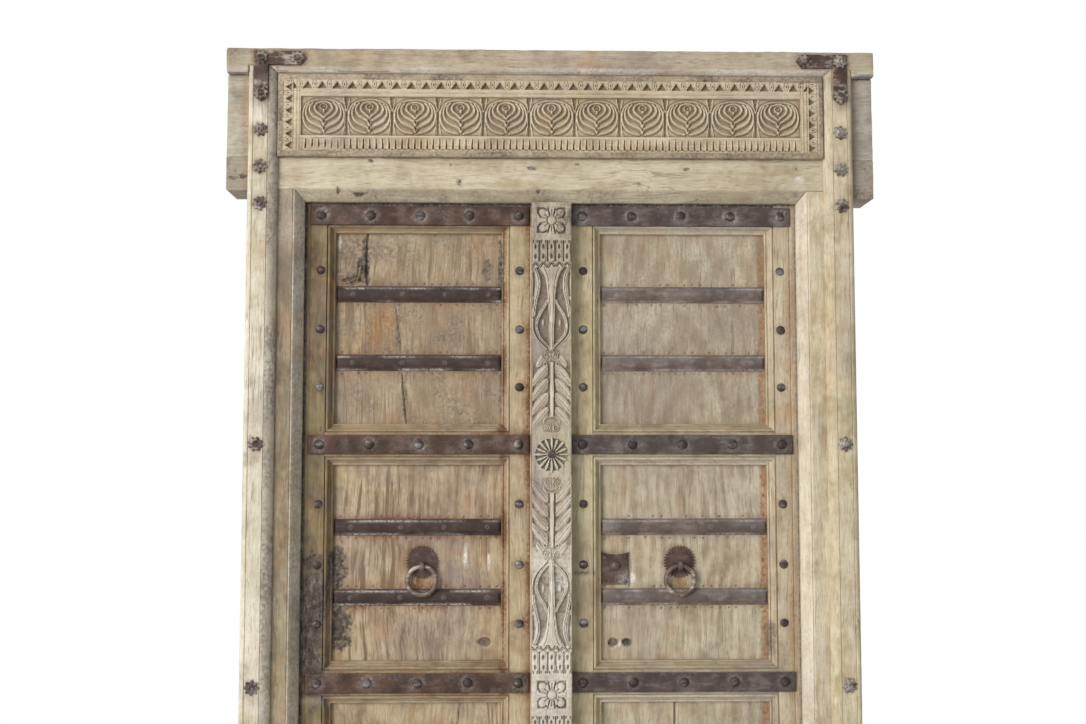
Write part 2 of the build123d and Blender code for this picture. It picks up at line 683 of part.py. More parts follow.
def add_joinery(stile, x_flat, x_field):
    """Moulded edges beside the panels, and mortises for the rails."""
    for z0, z1 in zip(FIELD_BOTTOMS, FIELD_TOPS):
        stile += stile_moulding(x_flat, x_field, z0, z1)
    for z0, z1 in rail_levels():
        stile -= tenons(z0, z1)
    return stile


def make_hanging_stile():
    stile = slab(CORE_OUT_X, PIVOT_X, LEAF_FRONT_Y, LEAF_BACK_Y, LEAF_BOTTOM_Z, LEAF_TOP_Z)
    heel = Cylinder(HEEL_RADIUS, LEAF_TOP_Z - LEAF_BOTTOM_Z, align=MIDDLE_OUT)
    stile += Pos(PIVOT_X, PIVOT_Y, LEAF_BOTTOM_Z) * heel
    groove_x = LIP_X - HEEL_GROOVE_OFFSET
    half = HEEL_GROOVE_WIDTH / 2
    groove = [
        (groove_x - half, LEAF_FRONT_Y),
        (groove_x + half, LEAF_FRONT_Y),
        (groove_x, LEAF_FRONT_Y + half),
    ]
    stile -= seen_from_above(groove, LEAF_BOTTOM_Z, LEAF_TOP_Z)
    stile += pivot(LEAF_BOTTOM_Z - LEAF_GAP - PIVOT_LENGTH, LEAF_BOTTOM_Z, 0)
    stile += pivot(LEAF_TOP_Z, LEAF_TOP_Z + LEAF_GAP + PIVOT_LENGTH, 0)
    return add_joinery(stile, CORE_OUT_X, FIELD_OUT_X)


def make_meeting_stile(hand):
    stile = slab(MEETING_X[hand], CORE_IN_X, LEAF_FRONT_Y, LEAF_BACK_Y, LEAF_BOTTOM_Z, LEAF_TOP_Z)
    return add_joinery(stile, CORE_IN_X, FIELD_IN_X)


def make_panel(row):
    z0 = FIELD_BOTTOMS[row] - MOULDING_WIDTH
    z1 = FIELD_TOPS[row] + MOULDING_WIDTH
    return slab(CORE_IN_X, CORE_OUT_X, PANEL_FRONT_Y, LEAF_BACK_Y, z0, z1)


# Iron on a leaf, drawn on the right
def strap_ends(hand):
    meeting = BAR_X if hand == "right" else MEETING_X[hand]
    return meeting + END_GAP, LIP_X - STRAP_HEEL_GAP


def make_rail_strap(hand, z):
    x0, x1 = strap_ends(hand)
    half = STRAP_WIDTH / 2
    return slab(x0, x1, STRAP_FRONT_Y, LEAF_FRONT_Y, z - half, z + half)


def make_strap_nails(hand):
    head = nail(STRAP_NAIL_RADIUS, STRAP_NAIL_HEIGHT)
    x0, x1 = strap_ends(hand)
    first = x0 + STRAP_NAIL_INSET
    pitch = (x1 - x0 - 2 * STRAP_NAIL_INSET) / (STRAP_NAILS - 1)
    columns = [first + i * pitch for i in range(STRAP_NAILS)]
    return [forward_at(x, STRAP_FRONT_Y, z) * head for z in RAIL_STRAPS_Z for x in columns]


def make_panel_straps():
    straps = []
    half = PANEL_STRAP_WIDTH / 2
    front_y = PANEL_FRONT_Y - PANEL_STRAP_THICK
    for top in FIELD_TOPS:
        for share in PANEL_STRAP_SHARES:
            z = top - share * FIELD_HEIGHT
            ends = (FIELD_IN_X + END_GAP, FIELD_OUT_X - END_GAP)
            straps.append(slab(*ends, front_y, PANEL_FRONT_Y, z - half, z + half))
    return straps


def make_stile_studs(hand):
    head = nail(STUD_RADIUS, STUD_HEIGHT)
    columns = (LIP_X - HANGING_STUD_INSET, MEETING_X["left"] + MEETING_STUD_INSET)
    levels = [top - share * FIELD_HEIGHT for top in FIELD_TOPS for share in STUD_SHARES]
    studs = [forward_at(x, LEAF_FRONT_Y, z) * head for x in columns for z in levels]
    if hand == "right":
        boss = nail(BAR_NAIL_RADIUS, STUD_HEIGHT)
        studs += [forward_at(0, BAR_FRONT_Y, z) * boss for z in bar_levels()[1]]
    return studs


# Ring pull, drawn on the right
PULL_TOP = FIELD_TOPS[-1 - PULL_ROW]
PULL_X = FIELD_IN_X + PULL_INSET
PULL_Z = PULL_TOP - FIELD_HEIGHT / 2
RING_Y = PANEL_FRONT_Y - RING_STANDOFF
RING_Z = PULL_Z - RING_DROP


def make_pull_plate():
    share = (PLATE_RADIUS - PLATE_NOTCH) / PLATE_RADIUS
    plate = extrude(star(PLATE_RADIUS, share, PLATE_TEETH), PLATE_THICK)
    plate = forward_at(PULL_X, PANEL_FRONT_Y, PULL_Z) * plate
    return plate - make_pull_staple()


def make_pull_staple():
    """A strap bent round the ring, both legs driven into the panel."""
    turns = [math.pi * i / STAPLE_STEPS for i in range(STAPLE_STEPS + 1)]
    outer = STAPLE_INNER + STAPLE_THICK

    def bend(radius):
        return [(RING_Y - radius * math.sin(a), RING_Z + radius * math.cos(a)) for a in turns]

    tips = [(PANEL_FRONT_Y, RING_Z - outer), (PANEL_FRONT_Y, RING_Z - STAPLE_INNER)]
    inner_tips = [(PANEL_FRONT_Y, RING_Z + STAPLE_INNER), (PANEL_FRONT_Y, RING_Z + outer)]
    section = bend(outer) + tips + bend(STAPLE_INNER)[::-1] + inner_tips
    return seen_from_end(section, PULL_X - STAPLE_WIDTH / 2, PULL_X + STAPLE_WIDTH / 2)


def make_pull_ring():
    """A forged ring with flats, hung by its upper side in the staple."""
    flats = [2 * math.pi * i / RING_FLATS for i in range(RING_FLATS)]
    centre_z = RING_Z - RING_RADIUS

    def section(step):
        turn = 2 * math.pi * step / RING_STEPS
        reaches = [RING_RADIUS + RING_WIRE * math.cos(a) for a in flats]
        depths = [RING_Y + RING_WIRE * math.sin(a) for a in flats]
        places = zip(reaches, depths)
        return [(PULL_X + r * math.sin(turn), y, centre_z + r * math.cos(turn)) for r, y in places]

    facets = [face for step in range(RING_STEPS) for face in band(section(step), section(step + 1))]
    return Solid(Shell(facets))


# Lock plate of the right leaf
def make_lock_plate():
    top_z = PULL_TOP - LOCK_TOP_SHARE * FIELD_HEIGHT
    x0 = FIELD_IN_X + END_GAP
    corners = [(x0, top_z), (x0, top_z - LOCK_HEIGHT)]
    corners += [(x0 + LOCK_WIDTH, top_z - LOCK_HEIGHT), (x0 + LOCK_WIDTH, top_z)]
    hollow = SagittaArc(corners[-1], corners[0], LOCK_HOLLOW)
    front_y = PANEL_FRONT_Y - LOCK_THICK
    plate = seen_from_front(make_face([Polyline(*corners), hollow]), front_y, PANEL_FRONT_Y)
    boss_x = x0 + LOCK_WIDTH * LOCK_BOSS_SHARES[0]
    boss_z = top_z - LOCK_HEIGHT * (1 - LOCK_BOSS_SHARES[1])
    boss = Pos(boss_x, boss_z) * RegularPolygon(LOCK_BOSS_RADIUS, LOCK_BOSS_SIDES)
    plate += seen_from_front(boss, front_y - LOCK_BOSS_HEIGHT, front_y)
    keyhole = Pos(boss_x, boss_z) * Rectangle(KEYHOLE_WIDTH, KEYHOLE_HEIGHT)
    return plate - seen_from_front(keyhole, front_y - LOCK_BOSS_HEIGHT, PANEL_FRONT_Y)


# Every piece, written as its own node
os.makedirs("parts", exist_ok=True)

save(make_head_rail(), "head_rail")
save(slab(-EAR_X, EAR_X, JAMB_FRONT_Y, BACK_Y, SOFFIT_TOP_Z, LINTEL_TOP_Z), "lintel_beam")
save(make_soffit_beam(), "soffit_beam")
save(make_frieze_board(), "frieze_board")
save(make_threshold(), "threshold")
save_group(make_rosettes(), "frame_rosettes")

for hand in ("left", "right"):
    save(handed(make_jamb(hand), hand), f"{hand}_jamb")
    save(handed(make_facing(), hand), f"{hand}_facing")
    save(handed(make_corner_iron(), hand), f"{hand}_corner_iron")
    save(handed(make_hanging_stile(), hand), f"{hand}_hanging_stile")
    save(handed(make_meeting_stile(hand), hand), f"{hand}_meeting_stile")
    for row, rail_name in enumerate(RAIL_NAMES):
        save(handed(make_rail(row), hand), f"{hand}_{rail_name}")
        strap = make_rail_strap(hand, RAIL_STRAPS_Z[row])
        save(handed(strap, hand), f"{hand}_rail_strap_{row + 1}")
    for row in range(PANEL_COUNT):
        save(handed(make_panel(row), hand), f"{hand}_panel_{row + 1}")
    save_group([handed(strap, hand) for strap in make_panel_straps()], f"{hand}_panel_straps")
    save_group([handed(head, hand) for head in make_strap_nails(hand)], f"{hand}_strap_nails")
    save_group([handed(head, hand) for head in make_stile_studs(hand)], f"{hand}_stile_studs")
    save(handed(make_pull_plate(), hand), f"{hand}_pull_plate")
    save(handed(make_pull_staple(), hand), f"{hand}_pull_staple")
    save(handed(make_pull_ring(), hand), f"{hand}_pull_ring")

save(make_centre_bar(), "centre_bar")
save(make_lock_plate(), "lock_plate")
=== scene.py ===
# Old carved double door in its frame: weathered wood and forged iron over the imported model.
import json
import math

import bpy
import numpy as np
from mathutils import Matrix, Vector


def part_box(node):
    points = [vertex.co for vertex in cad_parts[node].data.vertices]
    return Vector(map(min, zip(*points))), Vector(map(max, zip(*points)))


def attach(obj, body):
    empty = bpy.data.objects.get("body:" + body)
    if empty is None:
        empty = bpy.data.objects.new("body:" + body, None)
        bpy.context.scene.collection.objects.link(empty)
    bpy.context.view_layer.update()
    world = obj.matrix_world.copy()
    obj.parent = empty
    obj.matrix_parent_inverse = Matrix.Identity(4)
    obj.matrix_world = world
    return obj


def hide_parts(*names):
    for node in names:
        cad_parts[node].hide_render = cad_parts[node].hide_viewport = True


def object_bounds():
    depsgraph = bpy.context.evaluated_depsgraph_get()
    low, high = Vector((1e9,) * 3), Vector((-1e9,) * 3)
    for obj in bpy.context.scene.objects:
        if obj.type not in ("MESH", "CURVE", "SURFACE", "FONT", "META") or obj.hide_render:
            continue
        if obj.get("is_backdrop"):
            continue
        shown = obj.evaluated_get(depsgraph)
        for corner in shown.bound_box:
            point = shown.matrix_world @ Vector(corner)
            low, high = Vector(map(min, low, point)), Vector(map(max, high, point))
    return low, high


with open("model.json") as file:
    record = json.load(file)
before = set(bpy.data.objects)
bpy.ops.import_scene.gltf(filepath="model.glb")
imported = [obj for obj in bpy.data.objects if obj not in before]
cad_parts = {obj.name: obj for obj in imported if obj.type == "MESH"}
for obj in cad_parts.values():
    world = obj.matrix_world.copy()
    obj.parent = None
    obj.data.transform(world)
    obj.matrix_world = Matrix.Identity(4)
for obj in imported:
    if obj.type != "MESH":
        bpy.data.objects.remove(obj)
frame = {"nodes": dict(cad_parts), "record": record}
cad_low, cad_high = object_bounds()
nodes = frame["nodes"]
body_of = {n: body for body, names in frame["record"]["behaviour"]["bodies"].items() for n in names}
scene = bpy.context.scene

MM = 0.001
FRONT_FADE = (30.0, 22.0)
GROWTH_SQUASH = 0.24
HANDS = {"left": -1, "right": 1}

# Places of the door, in millimetres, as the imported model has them
PANEL_PITCH = 482.0
STRAP_LEVELS = [93.5, 575.5, 1057.5, 1539.5, 2013.8]
FIELD_BOTTOMS = [136.0, 618.0, 1100.0, 1582.0]
FIELD_HEIGHT = 397.0
FIELD_IN, FIELD_OUT = 103.0, 447.0
PANEL_STRAP_SHARES = (0.32, 0.68)
STUD_SHARES = (0.2, 0.51, 0.81)
STUD_COLUMNS = (477.0, 66.0)
LEAF_BOTTOM, LEAF_TOP = 58.0, 2058.0
PIVOT_X, PIVOT_Y, PIVOT_REACH = 508.0, 15.0, 15.5
FACING_MIDDLE = 596.0
ROSETTE_LEVELS = [2181.0, 2105.0, 2029.0, 1539.5, 1057.5, 575.5, 93.5]
IRON_NAILS = [(596.0, 2330.5), (522.5, 2330.5), (596.0, 2257.0)]
PULL_X, PULL_Z = 265.0, 1298.5
BAR_HALF, BAR_EDGE = 41.0, 42.0
STRAP_HALF, STRAP_IN, STRAP_OUT = 20.0, 46.0, 498.0
STRAP_NAIL_INSET = 22.0
PANEL_STRAP_HALF = 17.0
EAR_START = 600.0
LOCK_BOX = (104.0, 160.0, 1252.0, 1318.0)
BLOCK_LEVELS = [2001.0, 1037.0, 73.0]
FLOWER_LEVELS = [1519.0, 555.0]


# Handling of pieces
def only(piece):
    if bpy.context.object and bpy.context.object.mode != "OBJECT":
        bpy.ops.object.mode_set(mode="OBJECT")
    bpy.ops.object.select_all(action="DESELECT")
    piece.select_set(True)
    bpy.context.view_layer.objects.active = piece


def edit(piece):
    only(piece)
    bpy.ops.object.mode_set(mode="EDIT")
    bpy.ops.mesh.select_all(action="SELECT")


def leave():
    bpy.ops.object.mode_set(mode="OBJECT")


def points_of(piece):
    """The corners of a piece in millimetres."""
    co = np.empty(len(piece.data.vertices) * 3)
    piece.data.vertices.foreach_get("co", co)
    return co.reshape(-1, 3) / MM


def put_points(piece, points):
    piece.data.vertices.foreach_set("co", (points * MM).ravel())
    piece.data.update()


def normals_of(piece):
    no = np.empty(len(piece.data.vertices) * 3)
    piece.data.vertices.foreach_get("normal", no)
    return no.reshape(-1, 3)


def settle(piece):
    """Puts the place of a piece into its mesh."""
    only(piece)
    bpy.ops.object.transform_apply(location=True, rotation=True, scale=True)
    return piece


def finish_with(piece, kind, **settings):
    """Adds a modifier and applies it."""
    only(piece)
    modifier = piece.modifiers.new(kind.title(), kind)
    for key, value in settings.items():
        setattr(modifier, key, value)
    bpy.ops.object.modifier_apply(modifier=modifier.name)


def smooth(piece, angle=40.0):
    only(piece)
    bpy.ops.object.shade_smooth_by_angle(angle=math.radians(angle))


def copy_of(node):
    """A node's mesh as a new piece, with its loose triangles merged to faces."""
    piece = bpy.data.objects.new(node + "_worn", nodes[node].data.copy())
    scene.collection.objects.link(piece)
    piece.data.materials.clear()
    edit(piece)
    bpy.ops.mesh.remove_doubles(threshold=0.02 * MM)
    bpy.ops.mesh.dissolve_limited(angle_limit=math.radians(0.5))
    leave()
    return piece


def joined(pieces, name):
    only(pieces[0])
    for piece in pieces[1:]:
        piece.select_set(True)
    bpy.ops.object.join()
    pieces[0].name = name
    return pieces[0]


def twin(piece, matrix):
    """A copy of a small piece with a mesh of its own, moved by a matrix."""
    copy = bpy.data.objects.new(piece.name, piece.data.copy())
    scene.collection.objects.link(copy)
    copy.data.transform(matrix)
    return copy


def lay(piece, look, beside):
    """Gives a piece of its own a finish, and the body of the node beside it."""
    piece.data.materials.clear()
    piece.data.materials.append(look)
    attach(piece, body_of[beside])


def seat(piece, look, *stands_for):
    """Gives a piece its finish and its body, and hides the nodes that it stands for."""
    piece.data.materials.clear()
    piece.data.materials.append(look)
    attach(piece, body_of[stands_for[0]])
    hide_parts(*stands_for)
    return piece


# Uneven surfaces
def soft_noise(points, size, seed=0.0):
    """Smooth noise from -1 to 1 with bumps of about the given size."""
    place = np.asarray(points, float) / size + seed * 17.31 + 1000.0
    cell = np.floor(place).astype(np.int64)
    part = place - cell
    part = part * part * (3.0 - 2.0 * part)
    total = np.zeros(len(place))
    for corner in range(8):
        step = np.array([corner & 1, corner >> 1 & 1, corner >> 2 & 1])
        at = (cell + step).astype(float)
        hashed = np.sin(at @ np.array([127.1, 311.7, 74.7])) * 43758.5453
        value = 2.0 * (hashed - np.floor(hashed)) - 1.0
        total += value * np.prod(np.where(step, part, 1.0 - part), axis=1)
    return total


def flat_noise(x, z, size, seed=0.0, stretch=1.0):
    """The same noise on a front, stretched along Z."""
    shape = np.shape(x)
    points = np.stack([np.ravel(x), np.full(np.size(x), 3.7 * size), np.ravel(z) / stretch], axis=1)
    return soft_noise(points, size, seed).reshape(shape)


def smoothstep(low, high, value):
    t = np.clip((value - low) / (high - low), 0.0, 1.0)
    return t * t * (3.0 - 2.0 * t)


def score(piece, spacing, axes=(0, 2)):
    """Cuts a piece across so that its faces can follow an uneven surface."""
    points = points_of(piece)
    low, high = points.min(0), points.max(0)
    edit(piece)
    for axis in axes:
        count = int(round((high[axis] - low[axis]) / spacing))
        for i in range(1, count):
            cut = [0.0, 0.0, 0.0]
            cut[axis] = (low[axis] + (high[axis] - low[axis]) * i / count) * MM
            across = [0.0, 0.0, 0.0]
            across[axis] = 1.0
            bpy.ops.mesh.select_all(action="SELECT")
            bpy.ops.mesh.bisect(plane_co=cut, plane_no=across)
    leave()


def at_pivot(points):
    """True on the pegs of the hanging stiles and in the sockets they turn in."""
    x, y, z = points.T
    beyond_leaf = (z < LEAF_BOTTOM) | (z > LEAF_TOP)
    return beyond_leaf & (np.hypot(np.abs(x) - PIVOT_X, y - PIVOT_Y) < PIVOT_REACH)


def wear(piece, node, depth, size, seed=0.0, straight=True):
    """Makes a surface uneven, never past the node's own box; its ends and sides can stay straight."""
    low, high = (np.array(corner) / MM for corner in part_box(node))
    points = points_of(piece)
    normals = normals_of(piece)
    amount = 0.6 * soft_noise(points, size, seed) + 0.4 * soft_noise(points, size * 0.3, seed + 3.0)
    shift = normals * (amount * depth)[:, None]
    if straight:
        shift[:, 0] = np.where(np.abs(normals[:, 0]) > 0.6, 0.0, shift[:, 0])
        shift[:, 2] = np.where(np.abs(normals[:, 2]) > 0.6, 0.0, shift[:, 2])
    shift[at_pivot(points)] = 0.0
    put_points(piece, np.clip(points + shift, low, high))


def mark(piece, name, values):
    """A shade for each corner, for the finish to read."""
    layer = piece.data.attributes.get(name) or piece.data.attributes.new(name, "FLOAT", "POINT")
    layer.data.foreach_set("value", np.clip(values, 0.0, 1.0).astype(np.float32))


# Rust, soot and bleaching, worked out from the ironwork and from the damage, and a painted contact shadow along the
# left leaf's meeting edge
def from_box(x, z, x0, x1, z0, z1):
    dx = np.maximum(np.maximum(x0 - x, x - x1), 0.0)
    dz = np.maximum(np.maximum(z0 - z, z - z1), 0.0)
    return np.hypot(dx, dz)


def rust_on(points):
    """How strongly the iron nearby has stained the wood."""
    x, z = points[:, 0], points[:, 2]
    ax = np.abs(x)
    rust = np.zeros(len(points))
    for level in STRAP_LEVELS:
        away = from_box(ax, z, STRAP_IN - 1.0, STRAP_OUT, level - STRAP_HALF, level + STRAP_HALF)
        rust = np.maximum(rust, np.where(x > BAR_EDGE, 0.5, 0.75) * np.exp(-away / 11.0))
    for bottom in FIELD_BOTTOMS:
        for share in PANEL_STRAP_SHARES:
            level = bottom + FIELD_HEIGHT * share
            away = from_box(ax, z, FIELD_IN, FIELD_OUT, level - PANEL_STRAP_HALF, level + PANEL_STRAP_HALF)
            rust = np.maximum(rust, 0.8 * np.exp(-away / 13.0))
        for share in STUD_SHARES:
            for column in STUD_COLUMNS:
                level = bottom + FIELD_HEIGHT * (1.0 - share)
                away = np.hypot(ax - column, z - level) - 10.0
                rust = np.maximum(rust, 0.55 * np.exp(-np.maximum(away, 0.0) / 5.0))
    flowers = [(FACING_MIDDLE, level) for level in ROSETTE_LEVELS] + IRON_NAILS
    for column, level in flowers:
        away = np.hypot(ax - column, z - level) - 12.0
        run = from_box(ax, z, column - 3.0, column + 3.0, level - 34.0, level)
        rust = np.maximum(rust, 0.7 * np.exp(-np.maximum(away, 0.0) / 7.0))
        rust = np.maximum(rust, 0.4 * np.exp(-run / 4.0))
    arm = np.minimum(
        from_box(ax, z, 504.0, 610.0, 2316.0, 2345.0), from_box(ax, z, 581.0, 610.0, 2239.0, 2345.0)
    )
    rust = np.maximum(rust, 0.8 * np.exp(-arm / 10.0))
    away = np.hypot(ax - PULL_X, z - PULL_Z) - 34.0
    rust = np.maximum(rust, 0.6 * np.exp(-np.maximum(away, 0.0) / 9.0))
    lock = from_box(x, z, *LOCK_BOX)
    rust = np.maximum(rust, 0.7 * np.exp(-lock / 8.0))
    return rust


def stain_left_leaf(points):
    """The red-brown stain along the left leaf's meeting edge and its mouldings; along the meeting edge beside the bar
    it also paints a contact shadow.
    """
    x = points[:, 0]
    edge = smoothstep(15.0, 4.0, np.abs(x + 45.0))
    inner = 0.85 * smoothstep(12.0, 3.0, np.abs(x + 99.0))
    return np.where(x < -20.0, np.maximum(edge, inner), 0.0)


# Damage seen on the front: place, half sizes, depth of colour
BURNS = [
    (-490.0, 1170.0, 26.0, 150.0, 0.95),
    (-478.0, 1225.0, 22.0, 90.0, 0.8),
    (-470.0, 1060.0, 24.0, 60.0, 0.7),
    (-440.0, 1290.0, 20.0, 45.0, 0.9),
    (-428.0, 1165.0, 22.0, 55.0, 0.95),
    (-440.0, 1230.0, 12.0, 40.0, 0.7),
    (-414.0, 1920.0, 34.0, 56.0, 0.5),
    (-388.0, 1920.0, 11.0, 60.0, 0.8),
    (-412.0, 1886.0, 26.0, 14.0, 0.6),
    (-128.0, 1918.0, 26.0, 56.0, 0.3),
    (-106.0, 1900.0, 5.0, 80.0, 0.75),
    (-105.0, 1690.0, 4.0, 100.0, 0.6),
    (-547.0, 1975.0, 12.0, 46.0, 0.4),
    (-540.0, 1908.0, 16.0, 30.0, 0.48),
    (-553.0, 1862.0, 7.0, 24.0, 0.4),
    (-538.0, 2012.0, 8.0, 20.0, 0.35),
    (-134.0, 1905.0, 10.0, 22.0, 0.6),
    (-381.0, 1778.0, 5.0, 54.0, 0.5),
    (-318.0, 1778.0, 6.0, 54.0, 0.55),
    (-250.0, 1752.0, 14.0, 10.0, 0.42),
    (-304.0, 1634.0, 6.0, 52.0, 0.62),
    (-128.0, 1612.0, 8.0, 14.0, 0.4),
    (452.0, 1140.0, 10.0, 40.0, 0.55),
    (470.0, 1110.0, 16.0, 50.0, 0.35),
    (60.0, 1275.0, 26.0, 6.0, 0.8),
    (127.0, 1134.0, 11.0, 9.0, 0.85),
    (155.0, 1134.0, 11.0, 8.0, 0.85),
    (-140.0, 1136.0, 16.0, 6.0, 0.7),
    (-505.0, 640.0, 20.0, 90.0, 0.6),
    (-430.0, 700.0, 24.0, 50.0, 0.6),
    (430.0, 300.0, 22.0, 60.0, 0.5),
]
SLOTS = [
    (-440.0, 2061.0, 4.0, 8.0, 0.9),
    (-397.0, 2054.0, 15.0, 3.5, 0.95),
    (-372.0, 2122.0, 8.0, 3.5, 0.75),
    (-191.0, 2077.0, 5.0, 6.0, 0.75),
    (-208.0, 2114.0, 4.0, 4.0, 0.6),
    (-41.0, 2108.0, 10.0, 4.0, 0.75),
    (51.0, 2117.0, 6.0, 3.5, 0.75),
    (278.0, 2108.0, 8.0, 4.0, 0.65),
    (-29.0, 2061.0, 5.0, 6.0, 0.95),
    (505.0, 2110.0, 5.0, 3.5, 0.65),
    (180.0, 2077.0, 3.5, 3.5, 0.6),
    (-633.0, 2089.0, 10.0, 4.6, 0.95),
    (-655.0, 2085.0, 14.0, 3.2, 0.9),
    (-648.0, 2100.0, 3.0, 7.0, 0.6),
    (648.0, 2301.0, 24.0, 2.6, 0.9),
    (644.0, 2334.0, 20.0, 1.8, 0.7),
    (-646.0, 2300.0, 24.0, 1.8, 0.7),
]
WHITE_PATCHES = [
    (-176.0, 1309.0, 4.0, 22.0, 0.9),
    (-128.0, 1300.0, 3.0, 17.0, 0.8),
    (-441.0, 1957.0, 3.0, 14.0, 0.8),
    (168.0, 1265.0, 5.0, 10.0, 0.8),
    (141.0, 1133.0, 3.0, 8.0, 0.9),
    (-430.0, 1020.0, 70.0, 4.0, 0.4),
    (513.0, 2087.0, 9.0, 6.0, 0.7),
]


def blots(points, places, seed):
    """Ragged spots at places given with half sizes and strength."""
    x, z = points[:, 0], points[:, 2]
    shade = np.zeros(len(points))
    rag = soft_noise(points, 16.0, seed) * 0.35 + soft_noise(points, 6.0, seed + 5.0) * 0.25
    for cx, cz, wide, high, strength in places:
        reach = np.hypot((x - cx) / wide, (z - cz) / high)
        shade = np.maximum(shade, strength * smoothstep(1.4, 0.6, reach + rag))
    return shade


# Amber heartwood and varnish left in sheltered places
AMBERS = [
    (-352.0, 1777.0, 30.0, 78.0, 0.75),
    (-307.0, 1802.0, 6.0, 7.0, 0.6),
    (-325.0, 1893.0, 5.0, 8.0, 0.6),
    (-265.0, 1250.0, 20.0, 13.0, 0.5),
    (265.0, 1250.0, 20.0, 13.0, 0.55),
    (-170.0, 1655.0, 10.0, 40.0, 0.35),
    (-240.0, 690.0, 26.0, 50.0, 0.5),
    (-190.0, 300.0, 20.0, 44.0, 0.4),
]


def amber_on(points, seed):
    """How strongly the wood is amber."""
    x, z = points[:, 0], points[:, 2]
    amber = blots(points, AMBERS, seed)
    ears = smoothstep(640.0, 624.0, np.abs(x)) * (np.abs(x) > 621.0) * (z > 2050.0) * (z < 2302.0)
    amber = np.maximum(amber, ears * np.where(x < 0.0, 0.75, 0.4))
    in_field = np.mod(z - FIELD_BOTTOMS[0], FIELD_BOTTOMS[1] - FIELD_BOTTOMS[0]) < FIELD_HEIGHT
    amber = np.maximum(amber, 0.75 * smoothstep(430.0, 437.0, x) * (x < 447.4) * in_field * (z < 1990.0))
    strip = smoothstep(485.0, 491.0, x) * smoothstep(506.0, 501.0, x) * (z < 2040.0)
    return np.maximum(amber, strip * (0.3 + 0.4 * soft_noise(points, 60.0, seed + 3.0)))


def gap_painted_shadow(points):
    """The painted shadow line where the leaves run behind the frame."""
    x, z = points[:, 0], points[:, 2]
    beside = smoothstep(500.5, 506.5, np.abs(x)) * np.where(x < 0.0, 0.95, 0.5)
    return np.maximum(beside, 0.95 * smoothstep(2034.0, 2038.5, z))


def shade_wood(piece, seed, stain=0.0, darken=0.0, leaf=False):
    """Marks rust, soot, amber, bleach and tint on a wooden piece, the stains only towards the front; the soot mark also
    takes the darkening passed in, in places painted shade, and the painted shadow along the leaves' gaps.
    """
    points = points_of(piece)
    uneven = 0.75 + 0.45 * soft_noise(points, 40.0, seed)
    edge_stain = stain_left_leaf(points) * (0.62 + 0.6 * soft_noise(points, 50.0, seed))
    hand_share = np.where(points[:, 0] > BAR_EDGE, 0.6, 1.0)
    in_front = smoothstep(*FRONT_FADE, points[:, 1])
    mark(piece, "rust", (rust_on(points) * uneven * hand_share + stain * edge_stain) * in_front)
    burn = np.maximum(blots(points, BURNS, seed), blots(points, SLOTS, seed + 2.0))
    # Darkening passed in, in places painted shade, and the painted shadow along the leaves' gaps, both marked as burn
    darkening = np.maximum(darken * (1.0 + 0.5 * soft_noise(points, 35.0, seed + 8.0)), gap_painted_shadow(points) if leaf else 0.0)
    mark(piece, "burn", np.maximum(burn, darkening) * in_front)
    mark(piece, "amber", amber_on(points, seed + 4.0) * in_front)
    mark(piece, "pale", blots(points, WHITE_PATCHES, seed + 1.0) * in_front)
    mark(piece, "tint", 0.5 + 0.35 * soft_noise(points, 110.0, seed + 6.0))


# Finishes
class Finish:
    """A material under construction, with short calls for its nodes."""

    def __init__(self, name):
        self.material = bpy.data.materials.new(name)
        self.material.use_nodes = True
        self.tree = self.material.node_tree
        self.shader = self.tree.nodes["Principled BSDF"]

    def add(self, kind, ins=(), **settings):
        node = self.tree.nodes.new("ShaderNode" + kind)
        for key, value in settings.items():
            setattr(node, key, value)
        for key, value in dict(ins).items():
            self.feed(node.inputs[key], value)
        return node

    def feed(self, socket, value):
        if isinstance(value, bpy.types.NodeSocket):
            self.tree.links.new(value, socket)
        else:
            socket.default_value = value

    def sum(self, operation, a, b=0.0, clamp=False):
        node = self.add("Math", {0: a, 1: b}, operation=operation)
        node.use_clamp = clamp
        return node.outputs[0]

    def mix(self, share, a, b, blend="MIX"):
        node = self.add("Mix", {0: share, 6: a, 7: b}, data_type="RGBA", blend_type=blend)
        return node.outputs[2]

    def between(self, value, low, high, to_low=0.0, to_high=1.0):
        node = self.add("MapRange", {0: value, 1: low, 2: high, 3: to_low, 4: to_high})
        node.clamp = True
        return node.outputs[0]

    def noise(self, vector, scale, detail=3.0, rough=0.55, twist=0.0):
        ins = {"Vector": vector, "Scale": scale, "Detail": detail, "Roughness": rough, "Distortion": twist}
        return self.add("TexNoise", ins).outputs["Fac"]

    def shade(self, name):
        return self.add("Attribute", attribute_name=name).outputs["Fac"]

    def stretched(self, vector, scale, turn=(0.0, 0.0, 0.0)):
        return self.add("Mapping", {"Vector": vector, "Scale": scale, "Rotation": turn}).outputs[0]


def colour(red, green, blue):
    """A colour from 0-255 values as they look on a screen."""
    plain = [value / 255.0 for value in (red, green, blue)]
    return [c / 12.92 if c < 0.04045 else ((c + 0.055) / 1.055) ** 2.4 for c in plain] + [1.0]


RUST_STAIN = colour(112, 72, 44)
RED_STAIN_AND_SHADE = colour(92, 56, 38)
SOOT = colour(44, 38, 34)
BLEACH_AND_PAINTED_LIGHT = colour(228, 222, 212)


